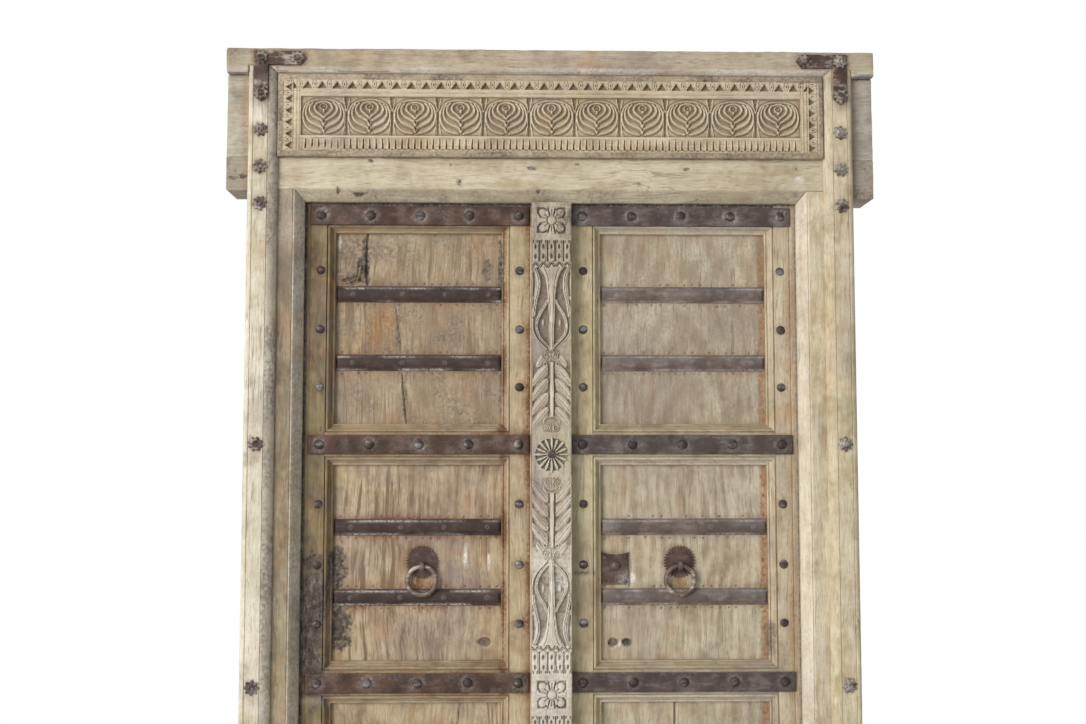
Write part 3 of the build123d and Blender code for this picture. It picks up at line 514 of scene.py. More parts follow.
def wood_finish(name, grain, light, middle, dark, rings=None, hollows=None, saw=None, clouds=0.3):
    """Weathered wood with fibres along X or Z, growth rings, pores, cracks, rust stains and soot; the stain, soot and
    pale marks also carry painted shade and painted light, and carvings get painted shade in their hollows and painted
    highlights on their crowns.
    """
    light, middle, dark = (colour(*tone) for tone in (light, middle, dark))
    f = Finish(name)
    place = f.add("TexCoord").outputs["Object"]
    warp = f.add("TexNoise", {"Vector": place, "Scale": 3.5, "Detail": 2.0}).outputs["Color"]
    bent = f.add("VectorMath", {0: warp, 1: (0.5, 0.5, 0.5)}, operation="SUBTRACT").outputs[0]
    bent = f.add("VectorMath", {0: bent, "Scale": 0.05}, operation="SCALE").outputs[0]
    bent = f.add("VectorMath", {0: place, 1: bent}, operation="ADD").outputs[0]
    along = {"X": (0.06, 1.0, 1.0), "Z": (1.0, 1.0, 0.06)}[grain]
    wide = {"X": (0.16, 1.0, 1.0), "Z": (1.0, 1.0, 0.16)}[grain]
    fibres = f.noise(f.stretched(bent, along), 210.0, 5.0, 0.7)
    streaks = f.noise(f.stretched(bent, along), 480.0, 3.0, 0.6)
    bands = f.noise(f.stretched(bent, wide), 30.0, 5.0, 0.62, 0.5)
    patches = f.noise(place, 6.0, 4.0, 0.6)
    blotches = f.noise(place, 22.0, 4.0, 0.6)
    fine = f.noise(place, 150.0, 5.0, 0.7)
    mottle = f.noise(place, 75.0, 5.0, 0.68)
    tone = f.sum("ADD", f.sum("MULTIPLY", bands, 0.3), f.sum("MULTIPLY", patches, 0.25))
    tone = f.sum("ADD", tone, f.sum("MULTIPLY", blotches, 0.25))
    tone = f.sum("ADD", tone, f.sum("MULTIPLY", mottle, 0.2))
    if rings:
        rings, middle_x, middle_z = rings
        middle_at = (-middle_x, 0.0, -GROWTH_SQUASH * middle_z)
        arch = f.add("Mapping", {"Vector": bent, "Scale": (1.0, 1.0, GROWTH_SQUASH), "Location": middle_at}).outputs[0]
        ins = {"Vector": arch, "Scale": 13.0, "Distortion": 7.0, "Detail": 4.0, "Detail Scale": 0.9}
        arcs = f.add("TexWave", ins, wave_type="RINGS", rings_direction="Y").outputs["Fac"]
        tone = f.sum("ADD", tone, f.sum("MULTIPLY", f.sum("SUBTRACT", arcs, 0.5), rings))
    base = f.mix(f.between(tone, 0.4, 0.5), dark, middle)
    base = f.mix(f.between(tone, 0.49, 0.6), base, light)
    base = f.mix(f.between(fine, 0.52, 0.7, 0.0, 0.45), base, dark)
    base = f.mix(f.between(fine, 0.46, 0.32, 0.0, 0.4), base, light)
    warmth = f.noise(place, 11.0, 5.0, 0.65, 0.6)
    base = f.mix(f.between(warmth, 0.53, 0.66, 0.0, clouds), base, colour(178, 132, 84))
    base = f.mix(f.between(warmth, 0.45, 0.33, 0.0, clouds), base, colour(128, 112, 106))
    base = f.mix(f.between(fibres, 0.42, 0.66, 0.0, 0.62), base, f.mix(0.6, base, dark))
    pores = f.between(streaks, 0.56, 0.68)
    base = f.mix(f.sum("MULTIPLY", pores, 0.42), base, f.mix(0.6, dark, SOOT))
    specks = f.between(f.noise(place, 330.0, 2.0, 0.5), 0.66, 0.74)
    base = f.mix(f.sum("MULTIPLY", specks, f.between(blotches, 0.45, 0.62, 0.0, 0.7)), base, f.mix(0.5, dark, SOOT))
    relief = f.sum("SUBTRACT", f.sum("MULTIPLY", fibres, 0.7), f.sum("MULTIPLY", pores, 0.5))
    relief = f.sum("ADD", relief, f.sum("MULTIPLY", fine, 0.4))
    if saw:
        tilt, strength = saw
        zones = f.between(f.noise(place, 7.5, 3.0, 0.55), 0.44, 0.6, 0.15, 1.0)
        for size, share in ((95.0, 0.8), (230.0, 0.5)):
            marks = f.noise(f.stretched(bent, (1.0, 1.0, 0.045), (0.0, tilt, 0.0)), size, 3.0, 0.6)
            marks = f.sum("MULTIPLY", f.between(marks, 0.52, 0.66), zones)
            base = f.mix(f.sum("MULTIPLY", marks, share * strength), base, f.mix(0.25, dark, SOOT))
            relief = f.sum("SUBTRACT", relief, f.sum("MULTIPLY", marks, 0.4))
    split = f.noise(f.stretched(bent, {"X": (0.03, 1.0, 1.0), "Z": (1.0, 1.0, 0.03)}[grain]), 42.0, 3.0, 0.5)
    split = f.between(f.sum("ABSOLUTE", f.sum("SUBTRACT", split, 0.5)), 0.014, 0.003)
    split = f.sum("MULTIPLY", split, f.between(patches, 0.5, 0.62))
    base = f.mix(f.sum("MULTIPLY", split, 0.6), base, f.mix(0.5, dark, SOOT))
    relief = f.sum("SUBTRACT", relief, split)
    # Painted shade, with dirt, in the hollows of a carving, and a painted highlight on its crowns
    if hollows:
        share, shadow, crown = hollows
        hollow = f.shade("hollow")
        shadow = f.mix(f.between(fine, 0.4, 0.7), shadow, f.mix(0.3, shadow, middle))
        base = f.mix(f.between(hollow, 0.53, 0.82, 0.0, share), base, shadow)
        base = f.mix(f.between(hollow, 0.46, 0.14, 0.0, crown), base, f.mix(0.5, light, BLEACH_AND_PAINTED_LIGHT))
    tint = f.shade("tint")
    base = f.mix(f.between(tint, 0.5, 0.0, 0.0, 0.5), base, colour(118, 106, 110))
    base = f.mix(f.between(tint, 0.5, 1.0, 0.0, 0.4), base, colour(150, 148, 116))
    amber = f.sum("MULTIPLY", f.shade("amber"), f.between(mottle, 0.36, 0.62, 0.5, 1.25), True)
    base = f.mix(amber, base, f.mix(f.between(fine, 0.4, 0.65), colour(158, 112, 66), colour(124, 82, 46)))
    rag = f.between(fine, 0.3, 0.7, 0.5, 1.35)
    rust = f.sum("MULTIPLY", f.shade("rust"), rag, True)
    base = f.mix(f.between(rust, 0.1, 0.75, 0.0, 0.75), base, RUST_STAIN)
    # Red-brown stain, which on the left leaf's meeting edge and on the bar's left side also paints shade
    base = f.mix(f.between(rust, 0.5, 1.0, 0.0, 0.75), base, RED_STAIN_AND_SHADE)
    ragged = f.sum("ADD", f.sum("MULTIPLY", mottle, 0.5), f.sum("MULTIPLY", fine, 0.5))
    # The burn mark: char and soot, and also painted shade in the leaves' gaps and on shaded faces
    burn = f.sum("MULTIPLY", f.shade("burn"), f.between(ragged, 0.36, 0.6, 0.55, 1.4), True)
    base = f.mix(f.between(burn, 0.1, 0.5, 0.0, 0.75), base, f.mix(0.4, colour(98, 82, 74), middle))
    scorch = f.noise(f.stretched(place, (1.0, 1.0, 0.5)), 90.0, 6.0, 0.74, 0.5)
    char = f.mix(f.between(scorch, 0.4, 0.54), colour(36, 31, 29), colour(84, 75, 70))
    char = f.mix(f.between(scorch, 0.56, 0.66), char, colour(136, 128, 122))
    base = f.mix(f.between(burn, 0.42, 0.95, 0.0, 0.92), base, char)
    relief = f.sum("ADD", relief, f.sum("MULTIPLY", scorch, f.between(burn, 0.5, 0.9, 0.0, 2.2)))
    # The pale mark: bleached and white patches, and painted light where shade would fall
    base = f.mix(f.sum("MULTIPLY", f.shade("pale"), f.between(fine, 0.35, 0.6, 0.2, 1.1), True), base, BLEACH_AND_PAINTED_LIGHT)
    f.feed(f.shader.inputs["Base Color"], base)
    f.feed(f.shader.inputs["Roughness"], f.between(fibres, 0.3, 0.7, 0.66, 0.86))
    f.shader.inputs["Specular IOR Level"].default_value = 0.3
    bump = f.add("Bump", {"Strength": 0.6, "Distance": 0.001, "Height": relief})
    f.feed(f.shader.inputs["Normal"], bump.outputs[0])
    return f.material


def iron_finish(name, dark, brown, grey, shine, bright):
    """Forged iron, brown with old rust, rubbed grey in places, with chalky dust; on nail heads the grey spots also
    paint highlights, and the tint mark paints a bluish sheen.
    """
    dark, brown, grey = (colour(*tone) for tone in (dark, brown, grey))
    f = Finish(name)
    place = f.add("TexCoord").outputs["Object"]
    cloud = f.noise(place, 26.0, 5.0, 0.62)
    speckle = f.noise(place, 210.0, 4.0, 0.65)
    scale = f.noise(f.stretched(place, (0.25, 1.0, 1.0)), 120.0, 3.0, 0.6)
    base = f.mix(f.between(cloud, 0.38, 0.62), dark, brown)
    base = f.mix(f.between(speckle, 0.5, 0.72, 0.0, 0.6), base, f.mix(0.4, brown, RUST_STAIN))
    base = f.mix(f.between(f.sum("MULTIPLY", cloud, scale), 0.25, 0.37, 0.0, bright), base, grey)
    # Painted sheen: bluish grey where the tint mark is set, over the upper half of the rounded straps
    base = f.mix(f.between(f.shade("tint"), 0.0, 1.0, 0.0, 0.8), base, colour(122, 122, 128))
    chalk = f.sum("MULTIPLY", f.shade("pale"), f.between(speckle, 0.36, 0.58, 0.15, 1.15), True)
    base = f.mix(chalk, base, colour(176, 168, 160))
    f.feed(f.shader.inputs["Base Color"], base)
    f.shader.inputs["Metallic"].default_value = shine
    f.shader.inputs["Specular IOR Level"].default_value = 0.28
    f.feed(f.shader.inputs["Roughness"], f.between(speckle, 0.3, 0.7, 0.45, 0.75))
    height = f.sum("ADD", f.sum("MULTIPLY", speckle, 0.5), f.sum("MULTIPLY", cloud, 0.8))
    bump = f.add("Bump", {"Strength": 0.6, "Distance": 0.0012, "Height": height})
    f.feed(f.shader.inputs["Normal"], bump.outputs[0])
    return f.material


# For carvings and panels: share and colour of the painted shade and dirt in hollows, and share of the painted highlight
# on crowns
FRIEZE_HOLLOWS = (0.74, colour(104, 80, 56), 0.5)
BAR_HOLLOWS = (0.8, colour(82, 66, 52), 0.5)
PANEL_HOLLOWS = (0.85, colour(70, 56, 48), 0.3)
head_wood = wood_finish("bleached_head_wood", "X", (192, 178, 156), (174, 158, 136), (136, 118, 97))
lintel_wood = wood_finish("grey_lintel_wood", "X", (196, 187, 170), (174, 165, 148), (134, 125, 110))
soffit_wood = wood_finish("cream_soffit_wood", "X", (208, 197, 172), (195, 183, 158), (164, 145, 115), clouds=0.16)
left_facing_wood = wood_finish("cream_facing_wood", "Z", (224, 216, 199), (210, 200, 180), (174, 157, 129))
right_facing_wood = wood_finish("honey_facing_wood", "Z", (220, 208, 182), (205, 191, 162), (166, 146, 112))
left_jamb_wood = wood_finish("brown_jamb_wood", "Z", (178, 163, 135), (148, 133, 107), (106, 88, 64), clouds=0.32)
right_jamb_wood = wood_finish("pale_jamb_wood", "Z", (220, 208, 182), (206, 192, 164), (164, 142, 110))
frieze_wood = wood_finish(
    "carved_frieze_wood", "X", (206, 190, 163), (188, 170, 142), (152, 132, 104), hollows=FRIEZE_HOLLOWS
)
bar_wood = wood_finish(
    "carved_bar_wood", "Z", (208, 198, 180), (188, 174, 152), (148, 130, 109), hollows=BAR_HOLLOWS
)
stile_finishes = {
    ("left", "hanging"): wood_finish("dark_stile_wood", "Z", (150, 133, 100), (122, 106, 77), (86, 70, 48), clouds=0.5),
    ("right", "hanging"): wood_finish("pale_stile_wood", "Z", (206, 192, 166), (190, 174, 148), (150, 128, 99)),
    ("left", "meeting"): wood_finish("honey_stile_wood", "Z", (202, 184, 152), (184, 165, 134), (146, 122, 92)),
    ("right", "meeting"): wood_finish("olive_stile_wood", "Z", (206, 192, 158), (188, 173, 139), (146, 127, 95)),
}
rail_finishes = {
    "left": wood_finish("brown_rail_wood", "X", (186, 168, 139), (162, 143, 115), (118, 96, 70)),
    "right": wood_finish("pale_rail_wood", "X", (194, 180, 154), (173, 158, 131), (132, 112, 84)),
}
panel_finishes = {
    "left": wood_finish(
        "honey_panel_wood", "Z", (196, 176, 146), (176, 155, 126), (134, 109, 82),
        rings=(0.05, -0.31, 1.5), saw=(0.17, 2.0), hollows=PANEL_HOLLOWS, clouds=0.6,
    ),
    "right": wood_finish(
        "greige_panel_wood", "Z", (202, 190, 167), (183, 169, 144), (144, 126, 101),
        rings=(0.07, 0.29, 1.36), saw=(-0.05, 0.5), hollows=PANEL_HOLLOWS, clouds=0.32,
    ),
}
strap_irons = {
    "left": iron_finish("brown_strap_iron", (54, 41, 35), (82, 58, 46), (104, 91, 84), 0.22, 0.4),
    "right": iron_finish("grey_strap_iron", (64, 55, 53), (88, 74, 68), (118, 112, 111), 0.25, 0.5),
}
bar_irons = {
    "left": iron_finish("black_bar_iron", (46, 36, 33), (64, 47, 41), (86, 78, 74), 0.22, 0.4),
    "right": iron_finish("dusty_bar_iron", (84, 73, 69), (112, 95, 85), (136, 128, 125), 0.22, 0.5),
}
# The nail heads' light bluish-grey spots paint highlights as well as rubbed metal
nail_iron = iron_finish("dark_nail_iron", (58, 50, 48), (80, 68, 62), (156, 154, 156), 0.45, 0.6)
pull_iron = iron_finish("rubbed_pull_iron", (92, 80, 74), (120, 101, 90), (184, 175, 168), 0.45, 0.8)
flower_iron = iron_finish("rusty_flower_iron", (58, 47, 42), (88, 67, 56), (170, 160, 150), 0.35, 0.7)
plate_iron = iron_finish("brown_plate_iron", (62, 50, 47), (86, 66, 58), (120, 108, 102), 0.3, 0.35)


# Boards with worn edges
MOULDING = 18.0


def sink_moulding(piece):
    """Makes room in a stile or rail for the moulding that lies on it."""
    points = points_of(piece)
    ax, y, z = np.abs(points[:, 0]), points[:, 1], points[:, 2]
    across = (ax > FIELD_IN - MOULDING - 0.05) & (ax < FIELD_OUT + MOULDING + 0.05)
    for bottom in FIELD_BOTTOMS:
        level = (z > bottom - MOULDING - 0.05) & (z < bottom + FIELD_HEIGHT + MOULDING + 0.05)
        sunk = across & level & (y > -4.9) & (y < 13.5)
        y = np.where(sunk, np.minimum(y + 4.5, 13.7), y)
    points[:, 1] = y
    put_points(piece, points)


def board(node, look, edge, spacing, depth, seed, stain=0.0, straight=True, moulded=False, darken=None):
    """A worn copy of a wooden node."""
    piece = copy_of(node)
    finish_with(piece, "BEVEL", width=edge * MM, segments=2, limit_method="ANGLE", angle_limit=math.radians(25.0))
    score(piece, spacing)
    wear(piece, node, depth, 60.0, seed, straight)
    if moulded:
        sink_moulding(piece)
    shade_wood(piece, seed, stain, darken(points_of(piece)) if darken else 0.0, moulded)
    smooth(piece, 32.0)
    return seat(piece, look, node)


# The head's left ear darker.
def head_left_ear_darken(points):
    return np.where(points[:, 0] < -622.0, 0.34, 0.0)


# The soffit's ears darker, and painted shade along its lower edge, whose chamfer faces down
def soffit_ears_and_shaded_chamfer(points):
    x, z = points[:, 0], points[:, 2]
    ears = np.where(np.abs(x) > EAR_START, np.where(x > 0.0, 0.46, 0.4), 0.0)
    return np.maximum(ears, np.where((np.abs(x) < 562.0) & (z < 2064.0), 0.3, 0.0))


# Painted shade on the left facing's inner bead, which faces away from the light; the bead is greyer in itself too
def bead_painted_shade(points):
    x = points[:, 0]
    return np.where((x > -581.0) & (x < -561.0), 0.43, 0.0)


head = board("head_rail", head_wood, 3.0, 8.0, 1.8, 1.0, straight=False, darken=head_left_ear_darken)
points = points_of(head)
# Painted light: the strip under the head's overhang made paler, where it lies in shadow
below = smoothstep(2316.0, 2311.0, points[:, 2]) * (points[:, 1] < 0.0)
mark(head, "pale", below * (0.3 + 0.25 * soft_noise(points, 50.0, 14.0)))
board("lintel_beam", lintel_wood, 3.0, 12.0, 1.6, 2.0, straight=False)
soffit = board("soffit_beam", soffit_wood, 2.4, 3.8, 1.2, 3.0, straight=False, darken=soffit_ears_and_shaded_chamfer)
points = points_of(soffit)
soft_tint = 0.5 + 0.2 * soft_noise(points, 110.0, 9.0)
mark(soffit, "tint", np.where(np.abs(points[:, 0]) > EAR_START, 0.0, soft_tint))
board("threshold", soffit_wood, 3.0, 20.0, 1.5, 4.0)
for hand, facing_wood, jamb_wood in (
    ("left", left_facing_wood, left_jamb_wood), ("right", right_facing_wood, right_jamb_wood),
):
    board(f"{hand}_facing", facing_wood, 1.0, 10.0, 0.8, 5.0, darken=bead_painted_shade)
    jamb = board(f"{hand}_jamb", jamb_wood, 1.4, 12.0, 0.9, 6.0)
    points = points_of(jamb)
    top = 0.22 * smoothstep(1850.0, 2000.0, points[:, 2]) * (hand == "left")
    bleached = np.where(np.abs(points[:, 0]) < 531.0, 0.3, top)
    mark(jamb, "pale", bleached * (1.0 + 0.5 * soft_noise(points, 40.0, 6.0)))
    stain = 1.0 if hand == "left" else 0.0
    board(f"{hand}_hanging_stile", stile_finishes[hand, "hanging"], 1.2, 10.0, 0.7, 7.0, stain, moulded=True)
    stile = board(f"{hand}_meeting_stile", stile_finishes[hand, "meeting"], 0.6, 10.0, 0.7, 8.0, stain, moulded=True)
    if hand == "left":
        points = points_of(stile)
        points[points[:, 0] > -45.3, 0] += 0.4
        put_points(stile, points)
    for row, rail in enumerate(("bottom", "lower", "middle", "upper", "top")):
        board(f"{hand}_{rail}_rail", rail_finishes[hand], 1.0, 10.0, 0.7, 9.0 + row, stain, moulded=True)


# Mouldings round the panels: a bead, a hollow and a thin lip, mitred at the corners
MOULDING_SECTION = [
    (0.2, 13.0), (0.2, -2.8), (1.6, -2.0), (2.2, -4.2), (4.0, -5.2), (6.2, -4.4), (7.8, -1.4), (8.6, 2.0),
    (10.6, 5.2), (13.2, 6.8), (14.0, 5.0), (15.8, 4.6), (17.4, 6.0), (17.9, 8.0), (17.9, 13.9),
]


def moulding_strip(length):
    """One side of a moulding at the origin: across in X, along Z, cut at the mitre at both ends."""
    bpy.ops.object.select_all(action="DESELECT")
    bpy.ops.mesh.primitive_circle_add(vertices=len(MOULDING_SECTION), radius=1.0, fill_type="NGON")
    piece = bpy.context.object
    put_points(piece, np.array([(d, y, 0.0) for d, y in MOULDING_SECTION]))
    edit(piece)
    bpy.ops.mesh.extrude_region_move(TRANSFORM_OT_translate={"value": (0.0, 0.0, length * MM)})
    leave()
    score(piece, 14.0, (2,))
    points = points_of(piece)
    points[:, 2] = points[:, 0] + (length - 2.0 * points[:, 0]) * points[:, 2] / length
    put_points(piece, points)
    return piece


def set_strip(pattern, upright, start, flat, inward, seed):
    """A copy of a strip along the flat of a stile or a rail, worn by itself."""
    piece = twin(pattern, Matrix.Identity(4))
    d, y, s = points_of(piece).T
    wavy = soft_noise(np.stack([d * 0.2, y * 0.0, s + start], axis=1), 45.0, seed)
    y = y + 0.5 * (1.0 + wavy) * (y < 12.0)
    d = d + 0.35 * wavy * (d > 1.0) * (d < 17.0)
    across = flat + inward * d
    put_points(piece, np.stack([across, y, start + s] if upright else [start + s, y, across], axis=1))
    edit(piece)
    bpy.ops.mesh.normals_make_consistent(inside=False)
    leave()
    return piece


upright_strip = moulding_strip(FIELD_HEIGHT + 2.0 * MOULDING)
level_strip = moulding_strip(FIELD_OUT - FIELD_IN + 2.0 * MOULDING)
for hand, side in HANDS.items():
    flats = {"hanging": (side * (FIELD_OUT + MOULDING), -side), "meeting": (side * (FIELD_IN - MOULDING), side)}
    stain = 1.0 if hand == "left" else 0.0
    for place, (flat, inward) in flats.items():
        strips = [
            set_strip(upright_strip, True, bottom - MOULDING, flat, inward, 24.0 + row + side)
            for row, bottom in enumerate(FIELD_BOTTOMS)
        ]
        moulding = joined(strips, f"{hand}_{place}_mouldings")
        shade_wood(moulding, 25.0 + side, stain)
        smooth(moulding, 34.0)
        lay(moulding, stile_finishes[hand, place], f"{hand}_{place}_stile")
    start = min(flats["hanging"][0], flats["meeting"][0])
    strips = []
    for row, bottom in enumerate(FIELD_BOTTOMS):
        strips.append(set_strip(level_strip, False, start, bottom - MOULDING, 1.0, 27.0 + row))
        strips.append(set_strip(level_strip, False, start, bottom + FIELD_HEIGHT + MOULDING, -1.0, 28.0 + row))
    moulding = joined(strips, f"{hand}_rail_mouldings")
    shade_wood(moulding, 29.0 + side, stain)
    # Painted light on the mouldings above each field, whose lower faces lie in shade, strongest on the right leaf
    painted_light_above_field = np.mod(points_of(moulding)[:, 2] - FIELD_BOTTOMS[0], PANEL_PITCH)
    painted_light_above_field = (painted_light_above_field > FIELD_HEIGHT - 0.5) & (painted_light_above_field < FIELD_HEIGHT + MOULDING + 0.5)
    mark(moulding, "pale", np.where(painted_light_above_field, 0.3 if hand == "right" else 0.04, 0.0))
    smooth(moulding, 34.0)
    lay(moulding, rail_finishes[hand], f"{hand}_middle_rail")
for pattern in (upright_strip, level_strip):
    bpy.data.objects.remove(pattern)


# Carved boards: a fine grid whose corners follow the depth of the carving
def carved_board(name, x0, x1, z0, z1, back, spacing, front, sunk=None):
    """A board between two corners, its front given as a depth for every place; sunk says how low is dark."""
    columns = int(round((x1 - x0) / spacing))
    rows = int(round((z1 - z0) / spacing))
    bpy.ops.object.select_all(action="DESELECT")
    bpy.ops.mesh.primitive_grid_add(x_subdivisions=columns, y_subdivisions=rows, size=1.0)
    piece = bpy.context.object
    piece.name = name
    piece.scale = ((x1 - x0) * MM, (z1 - z0) * MM, 1.0)
    piece.rotation_euler = (math.pi / 2.0, 0.0, 0.0)
    piece.location = ((x0 + x1) / 2.0 * MM, back * MM, (z0 + z1) / 2.0 * MM)
    settle(piece)
    edit(piece)
    bpy.ops.mesh.select_mode(type="EDGE")
    bpy.ops.mesh.select_all(action="DESELECT")
    bpy.ops.mesh.select_non_manifold(extend=False)
    bpy.ops.mesh.extrude_region_move()
    leave()
    points = points_of(piece)
    edge_loop = np.zeros(len(points), bool)
    edge_loop[(columns + 1) * (rows + 1):] = True
    front_points = ~edge_loop
    points[front_points, 1] = front(points[front_points, 0], points[front_points, 2])
    put_points(piece, points)
    depth = points[front_points, 1].reshape(rows + 1, columns + 1)
    # How far each place lies below its surroundings, which the finish paints as shade and dirt in hollows and as
    # highlight on crowns
    hollow = np.zeros(len(points))
    for size, share in ((4.5, 0.11), (13.0, 0.075)):
        reach = max(1, int(round(size / spacing)))
        around = depth
        for axis in (0, 1):
            around = sum(np.roll(around, shift, axis) for shift in range(-reach, reach + 1)) / (2 * reach + 1)
        hollow[front_points] += share * (depth - around).ravel()
    if sunk:
        high, low, share = sunk
        hollow[front_points] += share * smoothstep(high, low, depth).ravel()
    mark(piece, "hollow", 0.5 + hollow)
    edit(piece)
    bpy.ops.mesh.select_mode(type="EDGE")
    bpy.ops.mesh.select_all(action="DESELECT")
    bpy.ops.mesh.select_non_manifold(extend=False)
    bpy.ops.mesh.edge_face_add()
    bpy.ops.mesh.select_all(action="SELECT")
    bpy.ops.mesh.normals_make_consistent(inside=False)
    leave()
    return piece


def crest(away, half, height, sharp=1.7):
    """A rounded ridge about a line."""
    return height * np.clip(1.0 - (np.abs(away) / half) ** sharp, 0.0, 1.0)


def curve_through(points, steps=8):
    """A smooth line through a few places."""
    p = np.array([points[0]] + list(points) + [points[-1]], float)
    line = []
    for i in range(1, len(p) - 2):
        for t in np.linspace(0.0, 1.0, steps, endpoint=False):
            a = 2.0 * p[i]
            b = p[i + 1] - p[i - 1]
            c = 2.0 * p[i - 1] - 5.0 * p[i] + 4.0 * p[i + 1] - p[i + 2]
            d = -p[i - 1] + 3.0 * p[i] - 3.0 * p[i + 1] + p[i + 2]
            line.append(0.5 * (a + b * t + c * t * t + d * t ** 3))
    line.append(p[-2])
    return np.array(line)


def from_line(x, z, line):
    """The distance of each place from a line of points."""
    best = np.full(np.shape(x), 1e9)
    for (ax, az), (bx, bz) in zip(line[:-1], line[1:]):
        dx, dz = bx - ax, bz - az
        t = np.clip(((x - ax) * dx + (z - az) * dz) / (dx * dx + dz * dz + 1e-9), 0.0, 1.0)
        best = np.minimum(best, np.hypot(x - ax - t * dx, z - az - t * dz))
    return best


def lens(x, z, root, tip, half):
    """1 along the middle of a leaf, 0 on its edge, below 0 outside."""
    root, tip = np.array(root), np.array(tip)
    run = tip - root
    length = np.hypot(*run)
    u = ((x - root[0]) * run[0] + (z - root[1]) * run[1]) / length ** 2
    w = (-(x - root[0]) * run[1] + (z - root[1]) * run[0]) / length
    reach = half * np.sqrt(np.clip(4.0 * u * (1.0 - u), 0.0, 1.0)) * (1.15 - 0.3 * u)
    inside = np.where((u > 0.0) & (u < 1.0), 1.0 - np.abs(w) / np.maximum(reach, 0.01), -1.0)
    return inside, w, u


# Frieze
FRIEZE_FRONT, FRIEZE_BACK = -54.0, -40.0
FRIEZE_X = 562.0
FRIEZE_Z0, FRIEZE_Z1 = 2128.0, 2300.0
MEDALLIONS = 11
MEDALLION_FIELD_X = 515.5
MEDALLION_Z0, MEDALLION_Z1 = 2172.5, 2253.5


# Ridges of one medallion on its right half, from its top down to the point where both halves meet
MEDALLION_RIDGES = [
    [(0.0, 33.0), (7.0, 32.2), (15.0, 27.5), (18.0, 18.0), (14.0, 9.5), (6.0, 2.0), (0.0, -5.0)],
    [(21.0, 30.5), (27.0, 22.0), (28.0, 11.0), (21.0, 0.0), (9.0, -8.0), (2.4, -13.0), (0.0, -22.0)],
    [(29.0, 27.5), (34.5, 17.0), (35.4, 2.0), (29.0, -12.0), (17.5, -20.5), (6.0, -26.0), (1.8, -30.0), (0.0, -37.0)],
    [
        (0.0, 38.5), (12.0, 37.6), (24.0, 34.0), (35.0, 26.0), (40.6, 12.4),
        (42.0, -3.7), (38.5, -19.0), (30.0, -31.5), (19.0, -38.0), (6.0, -41.0),
    ],
]


def medallion_relief(u, v):
    """Height of one medallion's ridges: nested shells about a small eye."""
    au, v = np.abs(u), v / 0.88
    away = np.array([from_line(au, v, curve_through(ridge, 5)) for ridge in MEDALLION_RIDGES])
    order = np.argsort(away, axis=0)[:2]
    inner = np.take_along_axis(away, order.min(axis=0)[None], axis=0)[0]
    outer = np.take_along_axis(away, order.max(axis=0)[None], axis=0)[0]
    relief = 0.4 + 5.2 * (inner / (inner + outer + 1e-6)) ** 2
    heart = au < np.interp(v, *zip(*[(z, x) for x, z in reversed(MEDALLION_RIDGES[0])]), left=0.0, right=0.0)
    relief = np.where(heart, 1.0, relief)
    beyond = au > np.interp(v, *zip(*[(z, x) for x, z in reversed(MEDALLION_RIDGES[-1])]), left=0.0, right=0.0)
    relief = np.where(beyond, 3.2 - 2.0 * smoothstep(7.0, 1.5, away[-1]), relief)
    relief = np.maximum(relief, 7.4 * np.exp(-((away.min(axis=0) / 2.5) ** 2)))
    eye = np.hypot(u, v - 21.5)
    relief = np.maximum(relief, crest(eye - 7.2, 1.9, 6.6))
    relief = np.maximum(relief, crest(np.hypot(u + 1.0, v - 21.0) - 2.6, 1.2, 5.0))
    relief = np.where((au < 1.6) & (v < 15.0) & (v > 8.0), np.maximum(relief, 6.4), relief)
    for foot in (-2.5, -19.0, -34.5):
        chip = (v > foot) & (v < foot + 8.0) & (np.abs(u) < 3.0 * (v - foot) / 8.0)
        relief = np.where(chip, 0.2, relief)
    return relief


def stem_relief(u, v):
    """Height of the stalk between two medallions: two thin lines below, a pointed bud above."""
    au = np.abs(u)
    spread = 3.4 + 0.012 * np.maximum(-v - 10.0, 0.0) ** 1.7
    stalk = crest(au - spread, 1.5, 6.2) * (v < 13.0)
    bud = from_line(au, v, curve_through([(0.0, 10.0), (3.4, 20.0), (5.4, 30.0), (6.0, 38.0)], 5))
    return np.maximum(stalk, crest(bud, 1.6, 6.6))


def stem_cut(u, v):
    """True in the dark cuts inside the stalk and its bud."""
    au = np.abs(u)
    return ((au < 2.2) & (v < 8.0)) | ((au < 0.17 * (v - 13.0)) & (v > 15.0))


def zigzag_depth(u, v, pitch, height):
    """Chip-cut triangles, deepest under the point, with a hanging almond between each two; v runs from the foot."""
    t = (np.mod(u, pitch) / pitch - 0.5) * pitch
    share = v / height
    half = 0.37 * pitch * (1.0 - (share - 0.06) / 0.8)
    floor = 3.0 + 4.6 * smoothstep(0.06, 0.4, share)
    chip = floor * np.clip((half - np.abs(t)) / 1.0, 0.0, 1.0) * (share > 0.06) * (share < 0.86)
    rim = crest(np.abs(t) - half - 2.4, 0.9, 1.4) * (share > 0.1) * (share < 0.95)
    beside = np.where(t > 0.0, t - pitch / 2.0, t + pitch / 2.0)
    bulge = np.clip(1.0 - ((share - 0.58) / 0.42) ** 2, 0.0, 1.0)
    outline = crest(np.abs(beside) - 4.2 * np.sqrt(bulge), 0.9, 2.4) * (bulge > 0.0)
    seed = crest(np.hypot(beside * 1.6, (v - height * 0.55) / 2.0), 1.9, 4.4)
    cut_depth = np.maximum.reduce([chip, rim, outline, seed])
    return np.where((share > -0.1) & (share < 1.05), cut_depth, 0.0)


